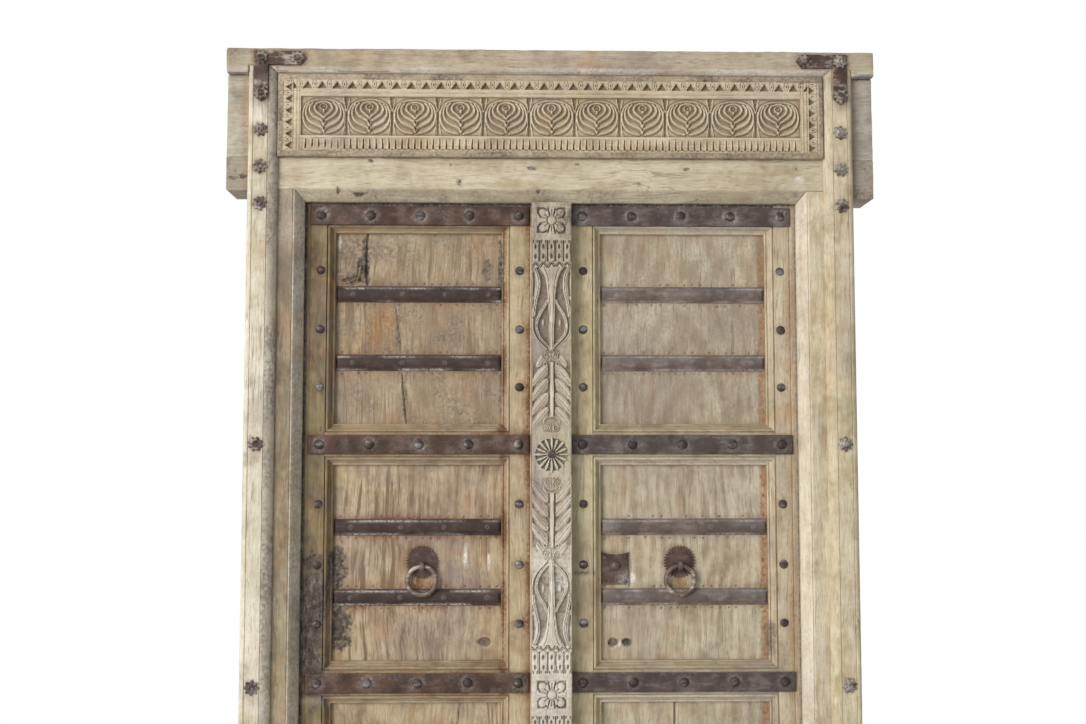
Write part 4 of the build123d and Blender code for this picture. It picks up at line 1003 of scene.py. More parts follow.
def tongue_depth(u, v, pitch, height):
    """Gaps between tongues: narrow above, wide and round below; v runs from 0 at the foot."""
    t = (np.mod(u, pitch) / pitch - 0.5) * pitch
    share = np.clip(v / height, 0.0, 1.0)
    half = 0.5 + 1.6 * np.clip(1.0 - share * 1.1, 0.0, 1.0) ** 1.3
    gap = 6.2 * np.clip((half + 0.7 - np.abs(t)) / 1.3, 0.0, 1.0) * smoothstep(1.5, 4.0, v)
    crown = 1.5 * np.clip((pitch / 2.0 - np.abs(t)) / (pitch / 2.0), 0.0, 1.0)
    round_foot = 3.6 * smoothstep(5.0, 1.0, v + 0.09 * (pitch / 2.0 - np.abs(t)) ** 2)
    inside = (v > 0.6) & (v < height - 0.4)
    return np.where(inside, np.maximum(np.maximum(gap, 1.5 - crown), round_foot), 0.0)


def frieze_front(x, z):
    """How deep the frieze is carved at each place."""
    depth = np.zeros(np.shape(x))
    pitch = 2.0 * MEDALLION_FIELD_X / MEDALLIONS
    wander = 0.8 * flat_noise(x, z, 55.0, 1.0)
    sway = 0.8 * flat_noise(x, z, 55.0, 2.0)
    u = np.mod(x + wander + MEDALLION_FIELD_X, pitch) - pitch / 2.0
    v = z + sway - (MEDALLION_Z0 + MEDALLION_Z1) / 2.0
    beside = np.where(u > 0.0, u - pitch / 2.0, u + pitch / 2.0)
    field = (np.abs(x) < MEDALLION_FIELD_X) & (z > MEDALLION_Z0) & (z < MEDALLION_Z1)
    relief = medallion_relief(u, v)
    carved = np.maximum(np.where(stem_cut(beside, v), 0.6, relief), stem_relief(beside, v))
    relief = np.where(np.abs(x) < MEDALLION_FIELD_X - 20.0, carved, relief)
    depth = np.where(field, 8.0 - relief, depth)
    missing = smoothstep(0.35, 0.6, flat_noise(x, z, 46.0, 31.0)) * smoothstep(-300.0, -420.0, x)
    tongues = tongue_depth(x + 1.5 * wander, z - 2141.0, 13.1, 24.0) * (1.0 - 0.85 * missing)
    depth = np.where(np.abs(x) < MEDALLION_FIELD_X, np.maximum(depth, tongues * (z < 2165.0)), depth)
    top = zigzag_depth(x + wander, z - 2267.5 + 0.5 * sway, 30.4, 20.0)
    depth = np.where((np.abs(x) < 531.0) & (z > 2264.0) & (z < 2289.0), np.maximum(depth, top), depth)
    side = zigzag_depth(z + sway, np.abs(x) - 531.0, 24.3, 18.0)
    beside_field = (np.abs(x) > 530.0) & (np.abs(x) < 550.0) & (z > 2141.0) & (z < 2287.0)
    depth = np.where(beside_field, np.maximum(depth, side), depth)
    for line in (2166.2, 2171.6, 2254.6, 2260.2):
        depth = np.maximum(depth, np.where(np.abs(x) < 523.0, crest(z - line, 1.5, 1.8), 0.0))
    for line in (516.6, 522.2, 529.6, 550.6):
        depth = np.maximum(depth, np.where((z > 2139.0) & (z < 2289.0), crest(np.abs(x) - line, 1.5, 1.6), 0.0))
    depth = np.maximum(depth, np.where(np.abs(x) < 551.0, crest(z - 2289.0, 1.4, 1.4), 0.0))
    depth = np.maximum(depth, crest(z - 2139.4, 1.4, 1.4) * (np.abs(x) < 551.0))
    worn = 0.35 + 0.3 * flat_noise(x, z, 80.0, 4.0) + 0.25 * flat_noise(x, z, 4.0, 5.0)
    edge = np.minimum(np.minimum(FRIEZE_X - np.abs(x), z - FRIEZE_Z0), FRIEZE_Z1 - z)
    rounding = 1.4 * np.clip(1.0 - edge / 2.0, 0.0, 1.0)
    return np.clip(FRIEZE_FRONT + depth + np.maximum(worn, 0.0) + rounding, FRIEZE_FRONT, FRIEZE_BACK - 2.0)


frieze = carved_board(
    "carved_frieze", -FRIEZE_X, FRIEZE_X, FRIEZE_Z0, FRIEZE_Z1, FRIEZE_BACK, 1.45, frieze_front, (-50.0, -46.5, 0.06)
)
# The frieze's plain strips darker than its carving
spot = points_of(frieze)
plain = (np.abs(spot[:, 0]) > 552.0) | (spot[:, 2] > 2288.0) | (spot[:, 2] < 2139.5)
shade_wood(frieze, 20.0, darken=np.where(plain, 0.46, 0.08))
smooth(frieze, 55.0)
seat(frieze, frieze_wood, "frieze_board")


# Centre bar, drawn from a square block towards the next round flower
BAR_FRONT, BAR_GROUND, BAR_BACK = -36.0, -28.0, -6.0
BAR_Z0, BAR_Z1 = 60.0, 2038.0
PETALS, FLOWER_SCALE = 16.0, 0.91


def block_carving(x, t):
    """A flower of four round lobes and narrow petals, cut into a square."""
    ax, at = np.abs(x), np.abs(t)
    inside = (ax < 29.0) & (at < 27.0)
    relief = np.full(np.shape(x), 7.6)
    relief -= crest(np.maximum(ax - 30.0, at - 28.0), 1.2, 1.4)
    lobe = np.hypot(ax - 18.2, at - 16.2)
    outer = (ax - 18.2) * 18.2 + (at - 16.2) * 16.2 > -9.0 * lobe
    relief -= np.where(inside, crest(lobe - 9.6, 2.1, 6.6), 0.0) * outer
    corner = (lobe > 10.0) & (ax > 15.0) & (at > 14.0) & ((ax > 25.0) | (at > 22.5))
    relief = np.where(inside & corner, 0.8, relief)
    relief -= 1.6 * np.clip((lobe / 8.0) ** 2, 0.0, 1.0) * (lobe < 8.0)
    slit = from_line(ax, at, [(4.2, 11.5), (7.4, 25.5)])
    relief -= np.where(inside, crest(slit, 1.9, 6.4), 0.0)
    relief -= crest(from_line(ax, at, [(0.0, 12.0), (0.0, 23.0)]), 1.4, 4.0)
    relief -= crest(from_line(ax, at, [(8.0, 7.0), (14.0, 12.4)]), 1.2, 3.6)
    relief -= crest(from_line(ax, at, [(12.0, 4.4), (25.0, 6.2)]), 1.3, 3.4)
    boss = np.hypot(x, t)
    relief -= crest(boss - 9.4, 1.7, 3.6)
    return np.where(boss < 8.6, 8.0 - 1.2 * (boss / 8.6) ** 2, relief)


def lattice_carving(x, t):
    """Five upright loops with pierced eyes above a pointed fringe."""
    cell = np.mod(x + BAR_HALF, 16.4) - 8.2
    loops = np.full(np.shape(x), 6.8)
    loops -= crest(np.abs(cell) - 8.2, 2.0, 5.6) * (np.abs(t - 66.0) < 25.0)
    loops -= crest(np.hypot(cell, (t - 75.0) * 0.55), 3.6, 6.6)
    loops -= crest(np.hypot(cell * 1.1, (t - 55.0) * 0.5), 3.2, 6.4)
    loops -= crest(np.abs(cell) - 5.4, 0.9, 2.4) * (np.abs(t - 66.0) < 20.0)
    loops -= crest(np.mod(x, 8.2) - 4.1, 1.3, 4.4) * (t > 42.5) * (t < 48.0)
    saw = np.abs(np.mod(x + BAR_HALF, 16.4) / 16.4 - 0.5) * 2.0
    edge = t - 89.0 - 11.0 * saw
    fringe = 7.0 - crest(edge, 1.9, 5.6) - crest(edge + 5.2, 1.2, 4.2)
    return np.where(t > 86.0, fringe, np.where(t < 42.0, 7.6, loops))


RIB_LEVELS = [88.0, 94.0, 100.0, 106.0, 114.0, 122.0, 132.0, 146.0, 162.0, 180.0, 200.0, 235.0, 262.0]
RIB_HALVES = [38.0, 32.0, 26.5, 21.5, 17.0, 14.0, 11.4, 9.4, 8.0, 6.6, 5.4, 5.0, 5.0]
BULB = [
    (9.0, 167.0), (13.0, 177.0), (20.0, 188.0), (27.0, 201.0), (30.4, 214.0),
    (29.6, 228.0), (25.0, 240.0), (16.0, 251.0), (8.0, 259.0), (1.0, 268.0),
]
WING = [
    (36.0, 97.0), (31.0, 108.0), (27.4, 120.0), (26.4, 134.0),
    (28.0, 148.0), (31.4, 163.0), (34.6, 180.0), (36.4, 197.0),
]
SLIT = [(37.6, 110.0), (35.6, 124.0), (36.2, 140.0), (38.6, 156.0)]
SPUR = [(38.6, 203.0), (38.0, 228.0), (30.5, 244.0), (17.5, 258.0), (6.0, 270.0)]


def across_at(t, line):
    """How far out a line runs at each level."""
    outs, levels = np.array(line).T
    return np.interp(t, levels, outs)


def lyre_carving(x, t):
    """A flaring rib between two curved wings, and an onion bulb below them."""
    ax = np.abs(x)
    half = np.interp(t, RIB_LEVELS, RIB_HALVES)
    wing_line, bulb_line = curve_through(WING), curve_through(BULB)
    side = from_line(ax, t, wing_line)
    bulb = from_line(ax, t, bulb_line)
    spur = from_line(ax, t, curve_through(SPUR))
    ground = np.where((t < 200.0) & (ax > across_at(t, WING)), 3.6, 0.3)
    ground = np.where((t > 167.0) & (ax > across_at(t, BULB)), np.where(ax > across_at(t, SPUR), 4.4, 1.2), ground)
    rib = crest(ax, half + 0.6, 7.4, 8.0) - crest(ax - 0.55 * half, 1.0, 2.6) + crest(ax, 1.6, 0.6)
    wing = crest(side, 4.2, 7.0, 3.0) - crest(side, 1.2, 4.0)
    shell = crest(bulb, 3.6, 7.4, 3.0) - crest(bulb, 1.1, 3.4)
    relief = np.maximum.reduce([ground, rib, np.where(t < 200.0, wing, 0.0), shell, crest(spur, 2.4, 6.6)])
    bud = np.hypot(ax - 17.0, (t - 212.0) * 0.34)
    relief = np.maximum(relief, crest(bud, 3.4, 4.2))
    return np.where(relief < 6.0, relief - crest(from_line(ax, t, curve_through(SLIT)), 2.6, 4.0), relief)


def scroll_carving(x, t, level, turn):
    """A pair of small spirals beside the stem."""
    dx, dt = np.abs(x) - 10.0, (t - level) * turn
    r = np.hypot(dx, dt)
    wound = np.mod(r - 3.8 * (np.arctan2(dt, dx) / (2.0 * math.pi) + 0.5), 3.8)
    spiral = crest(wound - 1.9, 1.7, 7.4) * (r < 7.2)
    return np.maximum(np.maximum(spiral, 3.8), crest(np.abs(x) - 2.4, 1.6, 6.6))


def leaf_carving(x, t):
    """A grooved stem with broad leaves that hang down on both sides."""
    ax = np.abs(x)
    stalk = crest(x - 1.4, 5.8, 7.4, 5.0) - crest(x + 1.0, 0.9, 2.0) - crest(x - 5.4, 1.3, 5.0)
    ground = np.interp(t, [268.0, 290.0, 312.0, 392.0, 410.0, 436.0], [4.4, 3.6, 1.2, 1.2, 3.4, 4.4])
    relief = np.where((t > 292.0) & (t < 404.0), np.maximum(stalk, ground), ground)
    for start, reach in ((272.0, 0.72), (299.0, 1.0), (328.0, 1.0), (357.0, 1.0), (386.0, 0.95)):
        tip = (5.0 + 36.0 * reach, start + 44.0 * reach)
        blade_in, w, u = lens(ax, t, (5.0, start), tip, 12.0 * (0.5 + 0.5 * reach))
        lift = 7.2 - 2.2 * np.clip(w / 12.0 + 0.4, 0.0, 1.0)
        blade = lift * np.clip(blade_in, 0.0, 1.0) ** 0.25
        blade -= (crest(w + 1.0, 0.9, 2.4) + crest(w - 3.6, 0.8, 1.6)) * (blade_in > 0.25)
        relief = np.maximum(relief, np.where(ax > 7.0, blade, 0.0))
    curl = np.hypot(ax - 12.5, (t - 297.0) * 0.8)
    relief = np.maximum(relief, crest(curl - 3.2, 1.6, 6.8))
    arch = from_line(ax, t, curve_through([(0.0, 404.0), (9.0, 406.0), (15.0, 411.0), (17.0, 417.0)]))
    return np.maximum(relief, crest(arch, 2.0, 6.6))


def flower_carving(x, t):
    """Narrow petals round a nail, parted by deep slits."""
    r = np.hypot(x, t - PANEL_PITCH) / FLOWER_SCALE
    turn = np.arctan2(t - PANEL_PITCH, x) / (2.0 * math.pi) * PETALS
    across = np.abs(turn - np.round(turn)) * 2.0 * math.pi * np.maximum(r, 1.0) / PETALS
    long_one = np.where(np.mod(np.round(turn), 2.0) == 0.0, 1.0, 0.93)
    half = np.interp(r / long_one, [8.0, 14.0, 22.0, 29.0, 34.0, 37.0, 39.0], [1.3, 1.8, 2.7, 3.5, 3.6, 2.6, 0.2])
    petal = 7.7 * np.clip(1.0 - (across / half) ** 4.0, 0.0, 1.0) * (r > 7.0) * (r < 39.0)
    petal -= crest(across, 0.9, 1.4) * ((r > 18.0) & (r < 33.0))
    ground = np.where(r < 36.0, 1.2, 4.6)
    return np.maximum(petal, np.where(r < 11.0, 6.0, ground))


def bar_front(x, z):
    """How deep the bar is carved at each place, mirrored about each block."""
    levels = np.array(BLOCK_LEVELS)
    nearest = np.argmin(np.abs(np.subtract.outer(z, levels)), axis=-1)
    t = np.abs(z - levels[nearest])
    x_true = x
    x = x + 1.1 * flat_noise(x, z, 40.0, 6.0) + 0.5 * flat_noise(x, z, 13.0, 16.0)
    t = t + 1.3 * flat_noise(x, z, 45.0, 7.0) + 0.5 * flat_noise(x, z, 13.0, 17.0)
    relief = np.full(np.shape(x), 2.4)
    relief = np.where(t < 40.0, block_carving(x, t), relief)
    relief = np.where((t >= 37.0) & (t < 100.0), lattice_carving(x, t), relief)
    relief = np.where((t >= 98.0) & (t < 268.0), lyre_carving(x, t), relief)
    relief = np.where((t >= 268.0) & (t < 436.0), leaf_carving(x, t), relief)
    for level, turn in ((278.0, 1.0), (427.0, -1.0)):
        near = np.hypot(np.abs(x) - 8.0, t - level) < 11.0
        relief = np.where(near, scroll_carving(x, t, level, turn), relief)
    relief = np.where(t >= 436.0, flower_carving(x, t), relief)
    relief = np.maximum(relief, np.where(np.abs(x_true) > 39.2, 5.4, 0.0) * (t > 94.0) * (t < 440.0))
    worn = np.clip(0.5 + 0.5 * flat_noise(x, z, 70.0, 8.0), 0.0, 1.2) + 0.35 * flat_noise(x, z, 3.2, 9.0)
    side = 1.6 * np.clip(1.0 - (BAR_HALF - np.abs(x_true)) / 2.2, 0.0, 1.0)
    depth = 8.0 - np.clip(relief, 0.0, 8.0)
    return np.clip(BAR_FRONT + depth + worn + side, BAR_FRONT, BAR_GROUND + 3.0)


bar = carved_board(
    "carved_centre_bar", -BAR_HALF, BAR_HALF, BAR_Z0, BAR_Z1, BAR_BACK, 1.42, bar_front, (-33.0, -29.0, 0.26)
)
shade_wood(bar, 21.0)
tint = points_of(bar)[:, 0] / BAR_HALF * 0.28 + 0.46 + 0.35 * soft_noise(points_of(bar), 60.0, 22.0)
mark(bar, "tint", tint)
height = points_of(bar)[:, 2]
# The bar darker towards its top
darkening = 0.1 + 0.62 * smoothstep(1860.0, 1960.0, height) * (0.7 + 0.6 * soft_noise(points_of(bar), 30.0, 23.0))
mark(bar, "burn", darkening)
# The bar paler below about 1480 mm, less so below about 1050 mm
paler_below = 0.55 * smoothstep(1480.0, 1250.0, height) * (1.0 - 0.7 * smoothstep(1050.0, 750.0, height))
mark(bar, "pale", paler_below * (0.7 + 0.6 * soft_noise(points_of(bar), 40.0, 24.0)))
# The bar's left side face stained red-brown, which is partly painted shade
flank_stain_and_shade = (points_of(bar)[:, 0] < -40.9) & (points_of(bar)[:, 1] > -33.5)
mark(bar, "rust", np.where(flank_stain_and_shade, 1.0, 0.0))
smooth(bar, 55.0)
seat(bar, bar_wood, "centre_bar")


# Panels of upright planks, with open joints and a splintered hole
PANEL_FRONT, PANEL_BACK = 14.0, 36.0
SPLINTERED = ("left", 4)
# Painted shade: the upper panels darker, as the light falls off towards the top
PANEL_PAINTED_SHADE = {("left", 4): 0.32, ("right", 4): 0.24}
PLANK_JOINTS = {
    ("left", 4): [
        (-318.0, -0.16, 0.8, 1728.0, 1832.0), (-304.0, -0.11, 1.1, 1580.0, 1690.0),
        (-384.0, 0.0, 1.6, 1868.0, 1985.0),
    ],
    ("left", 3): [(-270.0, 0.01, 0.4, 1090.0, 1500.0)],
    ("left", 2): [(-300.0, -0.02, 1.4, 610.0, 900.0), (-190.0, 0.01, 0.8, 700.0, 1020.0)],
    ("left", 1): [(-260.0, 0.02, 1.2, 130.0, 540.0)],
    ("right", 2): [(250.0, 0.02, 1.2, 610.0, 1020.0)],
    ("right", 1): [(190.0, -0.02, 1.0, 130.0, 400.0), (330.0, 0.01, 1.4, 200.0, 540.0)],
}
HOLES = [
    (-414.0, 1883.0, 24.0, 12.0, 8.0), (-396.0, 1905.0, 8.0, 22.0, 6.0),
    (-140.0, 1136.0, 18.0, 8.0, 5.0), (127.0, 1134.0, 11.0, 9.0, 5.0), (155.0, 1134.0, 11.0, 8.0, 5.0),
]
SPLINTERS = [
    ((-440.0, 1874.0), (-402.0, 1884.0)), ((-440.0, 1884.0), (-406.0, 1893.0)), ((-438.0, 1892.0), (-400.0, 1906.0)),
    ((-406.0, 1870.0), (-396.0, 1912.0)), ((-396.0, 1872.0), (-388.0, 1898.0)),
]


def panel_front(hand, row):
    """Gives the worn front of one panel, with its open joints and holes."""
    def front(x, z):
        depth = 0.8 + 0.7 * flat_noise(x, z, 70.0, row + 2.0) + 0.25 * flat_noise(x, z, 9.0, row + 4.0, 6.0)
        for joint_x, slope, width, low, high in PLANK_JOINTS.get((hand, row), ()):
            line = joint_x + slope * (z - (low + high) / 2.0) + 2.4 * flat_noise(z * 0.0, z, 22.0, joint_x)
            length = smoothstep(low - 6.0, low + 8.0, z) * smoothstep(high + 6.0, high - 8.0, z)
            depth += crest(x - line, 1.6 + width, 3.4, 1.2) * np.clip(width, 0.4, 2.0) * length
        for cx, cz, wide, high, deep in HOLES:
            ragged = 0.35 * flat_noise(x, z, 9.0, cx, 2.5)
            depth += deep * smoothstep(1.15, 0.6, np.hypot((x - cx) / wide, (z - cz) / high) + ragged)
        if (hand, row) == SPLINTERED:
            for splinter in SPLINTERS:
                depth -= crest(from_line(x, z, splinter), 2.6, 5.0) * (depth > 3.0)
        for share in PANEL_STRAP_SHARES:
            for edge in (-22.0, 22.0):
                level = FIELD_BOTTOMS[row - 1] + FIELD_HEIGHT * share + edge + 2.0 * flat_noise(x, z, 30.0, edge)
                along = np.mod(x, 17.0) - 8.5 + 3.0 * flat_noise(np.floor(x / 17.0) * 17.0, z * 0.0, 9.0, share)
                chosen = flat_noise(np.floor(x / 17.0) * 31.0, z * 0.0 + edge, 7.0, row + share) > 0.0
                depth += 2.6 * crest(np.hypot(along, z - level), 3.2, 1.0) * chosen
        return np.clip(PANEL_FRONT + depth, PANEL_FRONT, PANEL_BACK - 6.0)
    return front


for hand, side in HANDS.items():
    for row in (1, 2, 3, 4):
        low, high = (np.array(corner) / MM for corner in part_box(f"{hand}_panel_{row}"))
        box = (low[0], high[0], low[2], high[2])
        spacing = 2.3 if (hand, row) == SPLINTERED else 2.8
        panel = carved_board(f"{hand}_panel_{row}_planks", *box, PANEL_BACK, spacing, panel_front(hand, row))
        shade_wood(panel, 30.0 + row + side, darken=PANEL_PAINTED_SHADE.get((hand, row), 0.0))
        smooth(panel)
        seat(panel, panel_finishes[hand], f"{hand}_panel_{row}")


# Forged straps, hammered and a little wavy along the edges
def dust_round_nails(points, places, reach):
    x, z = points[:, 0], points[:, 2]
    dust = np.zeros(len(points))
    for cx, cz in places:
        away = np.hypot(x - cx, z - cz)
        dust = np.maximum(dust, 0.8 * np.exp(-np.abs(away - reach) / 3.5))
    return dust


def strap_columns(hand):
    inner = BAR_EDGE if hand == "right" else STRAP_IN
    first, last = inner + STRAP_NAIL_INSET, STRAP_OUT - STRAP_NAIL_INSET
    return [HANDS[hand] * (first + (last - first) * i / 4.0) for i in range(5)]


def forged(node, edge, spacing, depth, seed, look, dusty=(), dust_above=0.0, halo=0.6):
    piece = copy_of(node)
    finish_with(piece, "BEVEL", width=edge * MM, segments=2, limit_method="ANGLE", angle_limit=math.radians(30.0))
    score(piece, spacing)
    above = normals_of(piece)[:, 2]
    wear(piece, node, depth, 22.0, seed, False)
    points = points_of(piece)
    fringe = 0.16 * np.clip(soft_noise(points, 24.0, seed + 2.0), 0.0, 1.0)
    ring = halo * dust_round_nails(points, dusty, 12.5) * (0.5 + 0.8 * soft_noise(points, 12.0, seed))
    lying = dust_above * smoothstep(0.2, 0.6, above) * np.clip(0.6 + soft_noise(points, 30.0, seed + 4.0), 0.0, 1.0)
    mark(piece, "pale", np.maximum(np.maximum(ring, fringe), lying))
    smooth(piece)
    return seat(piece, look, node)


NAIL_SHARES = (0.1, 0.4, 0.66, 0.92)


def panel_bar(side, level, seed):
    """A rounded strap across a panel, chalky along its upper and lower edges, with a painted sheen over its upper half.
    """
    x0, x1 = sorted((side * (FIELD_IN + 1.0), side * (FIELD_OUT - 1.0)))
    half = 16.9

    def front(x, z):
        uneven = half * (0.96 + 0.04 * flat_noise(x, z, 14.0, seed + 1.0))
        w = (z - level + 0.9 * flat_noise(x, z * 0.0, 50.0, seed)) / uneven
        end = np.clip(np.minimum(x - x0, x1 - x) / 7.0, 0.0, 1.0) ** 0.5
        crown = 3.9 * np.clip(1.0 - np.abs(w / 0.86) ** 2.6, 0.0, 1.0) ** 0.6 * end
        dents = 0.35 * flat_noise(x, z, 12.0, seed + 2.0)
        nails = 0.0
        for share in NAIL_SHARES:
            nails = np.maximum(nails, crest(np.hypot(x - x0 - share * (x1 - x0), z - level), 5.0, 0.9))
        depth = PANEL_FRONT - 0.5 - crown - nails + np.maximum(dents, -0.3)
        return np.clip(depth, PANEL_FRONT - 5.0, PANEL_FRONT - 0.2)

    low, high = level - PANEL_STRAP_HALF, level + PANEL_STRAP_HALF
    piece = carved_board("rounded_strap", x0, x1, low, high, PANEL_FRONT + 0.8, 2.4, front)
    points = points_of(piece)
    w = (points[:, 2] - level) / half
    worn = soft_noise(points * [0.35, 1.0, 1.0], 12.0, seed + 3.0)
    above = smoothstep(0.2, 0.0, np.abs(w - 0.72)) * np.clip(0.6 + 1.2 * worn, 0.0, 1.0)
    below = smoothstep(0.2, 0.0, np.abs(w + 0.84)) * np.clip(0.45 + 1.2 * worn, 0.0, 0.9)
    chalky = 1.0 if side < 0 else 0.75
    dots = 0.0
    for share in NAIL_SHARES:
        away = np.hypot(points[:, 0] - x0 - share * (x1 - x0), points[:, 2] - level)
        dots = np.maximum(dots, 0.22 * np.exp(-(((away - 3.4) / 1.6) ** 2)))
    mark(piece, "pale", np.maximum(chalky * np.maximum(above, below), dots))
    # Painted sheen over the upper half of the strap, much stronger on the right leaf
    sheen = smoothstep(-0.3, 0.35, w) * smoothstep(1.0, 0.7, w)
    sheen *= np.clip(0.55 + 0.8 * soft_noise(points, 60.0, seed + 6.0), 0.0, 1.0)
    mark(piece, "tint", sheen * (0.4 if side > 0 else 0.06))
    return piece


for hand, side in HANDS.items():
    for row, level in enumerate(STRAP_LEVELS):
        nails = [(x, level) for x in strap_columns(hand)]
        seed, halo = 40.0 + row + side, 1.0 if row == 4 else 0.6
        forged(f"{hand}_rail_strap_{row + 1}", 1.2, 6.0, 1.0, seed, strap_irons[hand], nails, 0.35, halo)
    bars = []
    for row, bottom in enumerate(FIELD_BOTTOMS):
        for share in PANEL_STRAP_SHARES:
            bars.append(panel_bar(side, bottom + FIELD_HEIGHT * share, 50.0 + side + row + 5.0 * share))
    bars = joined(bars, f"{hand}_rounded_straps")
    smooth(bars, 50.0)
    seat(bars, bar_irons[hand], f"{hand}_panel_straps")
    forged(f"{hand}_corner_iron", 1.0, 6.0, 0.9, 52.0, flower_iron)
    forged(f"{hand}_pull_staple", 0.8, 4.0, 0.4, 54.0, pull_iron)


# Nails and studs
def dome(radius, height):
    """A hammered nail head that stands out to the front, modelled at the origin."""
    bpy.ops.object.select_all(action="DESELECT")
    bpy.ops.mesh.primitive_uv_sphere_add(segments=14, ring_count=9, radius=radius * MM)
    piece = bpy.context.object
    edit(piece)
    bpy.ops.mesh.bisect(plane_co=(0, 0, 0), plane_no=(0, 0, 1), clear_inner=True, use_fill=True)
    leave()
    points = points_of(piece)
    points[:, 2] *= height / radius
    points[:, :2] *= (1.0 - 0.1 * (points[:, 2:] / height) ** 2)
    points[:, 2] = np.minimum(points[:, 2], height * 0.93)
    put_points(piece, points)
    edit(piece)
    bpy.ops.mesh.select_all(action="SELECT")
    bpy.ops.transform.rotate(value=math.pi / 2.0, orient_axis="X", center_override=(0.0, 0.0, 0.0))
    leave()
    if points_of(piece)[:, 1].max() > 0.5 * height:
        piece.data.transform(Matrix.Rotation(math.pi, 4, "Z"))
    return piece


def hammered(pattern, places, name, seed):
    """One copy of a nail head for each place, each with dents of its own."""
    heads = []
    for i, (x, y, z) in enumerate(places):
        turn = Matrix.Rotation(i * 1.3, 4, "Y")
        head = twin(pattern, Matrix.Translation(Vector((x, y, z)) * MM) @ turn)
        points = points_of(head)
        middle = np.array([x, y, z])
        spread = points - middle
        spread *= 1.0 - 0.09 * (1.0 + soft_noise(points, 7.0, seed + i))[:, None]
        put_points(head, middle + spread)
        heads.append(head)
    bpy.data.objects.remove(pattern)
    return joined(heads, name)


STRAP_FRONT, LEAF_FRONT = -11.0, -6.0
for hand, side in HANDS.items():
    places = [(x, STRAP_FRONT, z) for z in STRAP_LEVELS for x in strap_columns(hand)]
    heads = hammered(dome(11.0, 6.0), places, f"{hand}_strap_nail_heads", 60.0 + side)
    smooth(heads)
    seat(heads, nail_iron, f"{hand}_strap_nails")
    levels = [bottom + FIELD_HEIGHT * (1.0 - share) for bottom in FIELD_BOTTOMS for share in STUD_SHARES]
    places = [(side * x, LEAF_FRONT, z) for x in STUD_COLUMNS for z in levels]
    if hand == "right":
        places += [(0.0, BAR_FRONT + 2.5, z) for z in FLOWER_LEVELS]
    heads = hammered(dome(10.0, 5.0), places, f"{hand}_stud_heads", 63.0 + side)
    smooth(heads)
    seat(heads, nail_iron, f"{hand}_stile_studs")


# Flower-headed nails
def flower_head(radius, height, petals):
    """A nail head with round petals about a domed middle, modelled at the origin."""
    bpy.ops.object.select_all(action="DESELECT")
    bpy.ops.mesh.primitive_circle_add(vertices=petals * 6, radius=radius * MM, fill_type="NGON")
    piece = bpy.context.object
    edit(piece)
    for rise, shrink in ((0.28, 1.0), (0.2, 0.86), (0.02, 0.6), (0.3, 0.86), (0.18, 0.6), (-0.3, 0.7)):
        bpy.ops.mesh.extrude_region_move(TRANSFORM_OT_translate={"value": (0.0, 0.0, rise * height * MM)})
        bpy.ops.transform.resize(value=(shrink, shrink, 1.0))
    leave()
    points = points_of(piece)
    reach = np.hypot(points[:, 0], points[:, 1])
    turn = np.arctan2(points[:, 1], points[:, 0])
    lobe = 1.0 - 0.28 * np.abs(np.cos(turn * petals / 2.0)) ** 2 * smoothstep(radius * 0.35, radius * 0.75, reach)
    points[:, :2] *= lobe[:, None]
    put_points(piece, points)
    edit(piece)
    bpy.ops.mesh.select_all(action="SELECT")
    bpy.ops.mesh.normals_make_consistent(inside=False)
    leave()
    piece.data.transform(Matrix.Rotation(math.pi / 2.0, 4, "X"))
    return piece


FACING_FRONT, IRON_FRONT = -58.0, -62.0
flowers = [(side * x, IRON_FRONT, z) for side in HANDS.values() for x, z in IRON_NAILS]
flowers += [(side * FACING_MIDDLE, FACING_FRONT, z) for side in HANDS.values() for z in ROSETTE_LEVELS]
heads = hammered(flower_head(17.0, 8.0, 8), flowers, "flower_nail_heads", 70.0)
points = points_of(heads)
mark(heads, "pale", 0.1 + 0.6 * soft_noise(points, 9.0, 71.0) + 0.35 * (points[:, 0] > 0.0))
smooth(heads, 50.0)
seat(heads, flower_iron, "frame_rosettes")


# Ring pulls
def toothed_plate(radius, notch, teeth, thick):
    """A round plate with a cut edge and a raised middle, modelled at the origin."""
    bpy.ops.object.select_all(action="DESELECT")
    bpy.ops.mesh.primitive_circle_add(vertices=teeth * 2, radius=radius * MM, fill_type="NGON")
    piece = bpy.context.object
    points = points_of(piece)
    points[::2, :2] *= 1.0 - notch / radius
    put_points(piece, points)
    edit(piece)
    bpy.ops.mesh.extrude_region_move(TRANSFORM_OT_translate={"value": (0.0, 0.0, 0.55 * thick * MM)})
    for shrink, rise in ((0.82, 0.0), (0.9, 0.3), (0.5, 0.15)):
        bpy.ops.mesh.inset(thickness=0.0)
        bpy.ops.transform.resize(value=(shrink, shrink, 1.0))
        bpy.ops.transform.translate(value=(0.0, 0.0, rise * thick * MM))
    bpy.ops.mesh.select_all(action="SELECT")
    bpy.ops.mesh.normals_make_consistent(inside=False)
    leave()
    piece.data.transform(Matrix.Rotation(math.pi / 2.0, 4, "X"))
    return piece


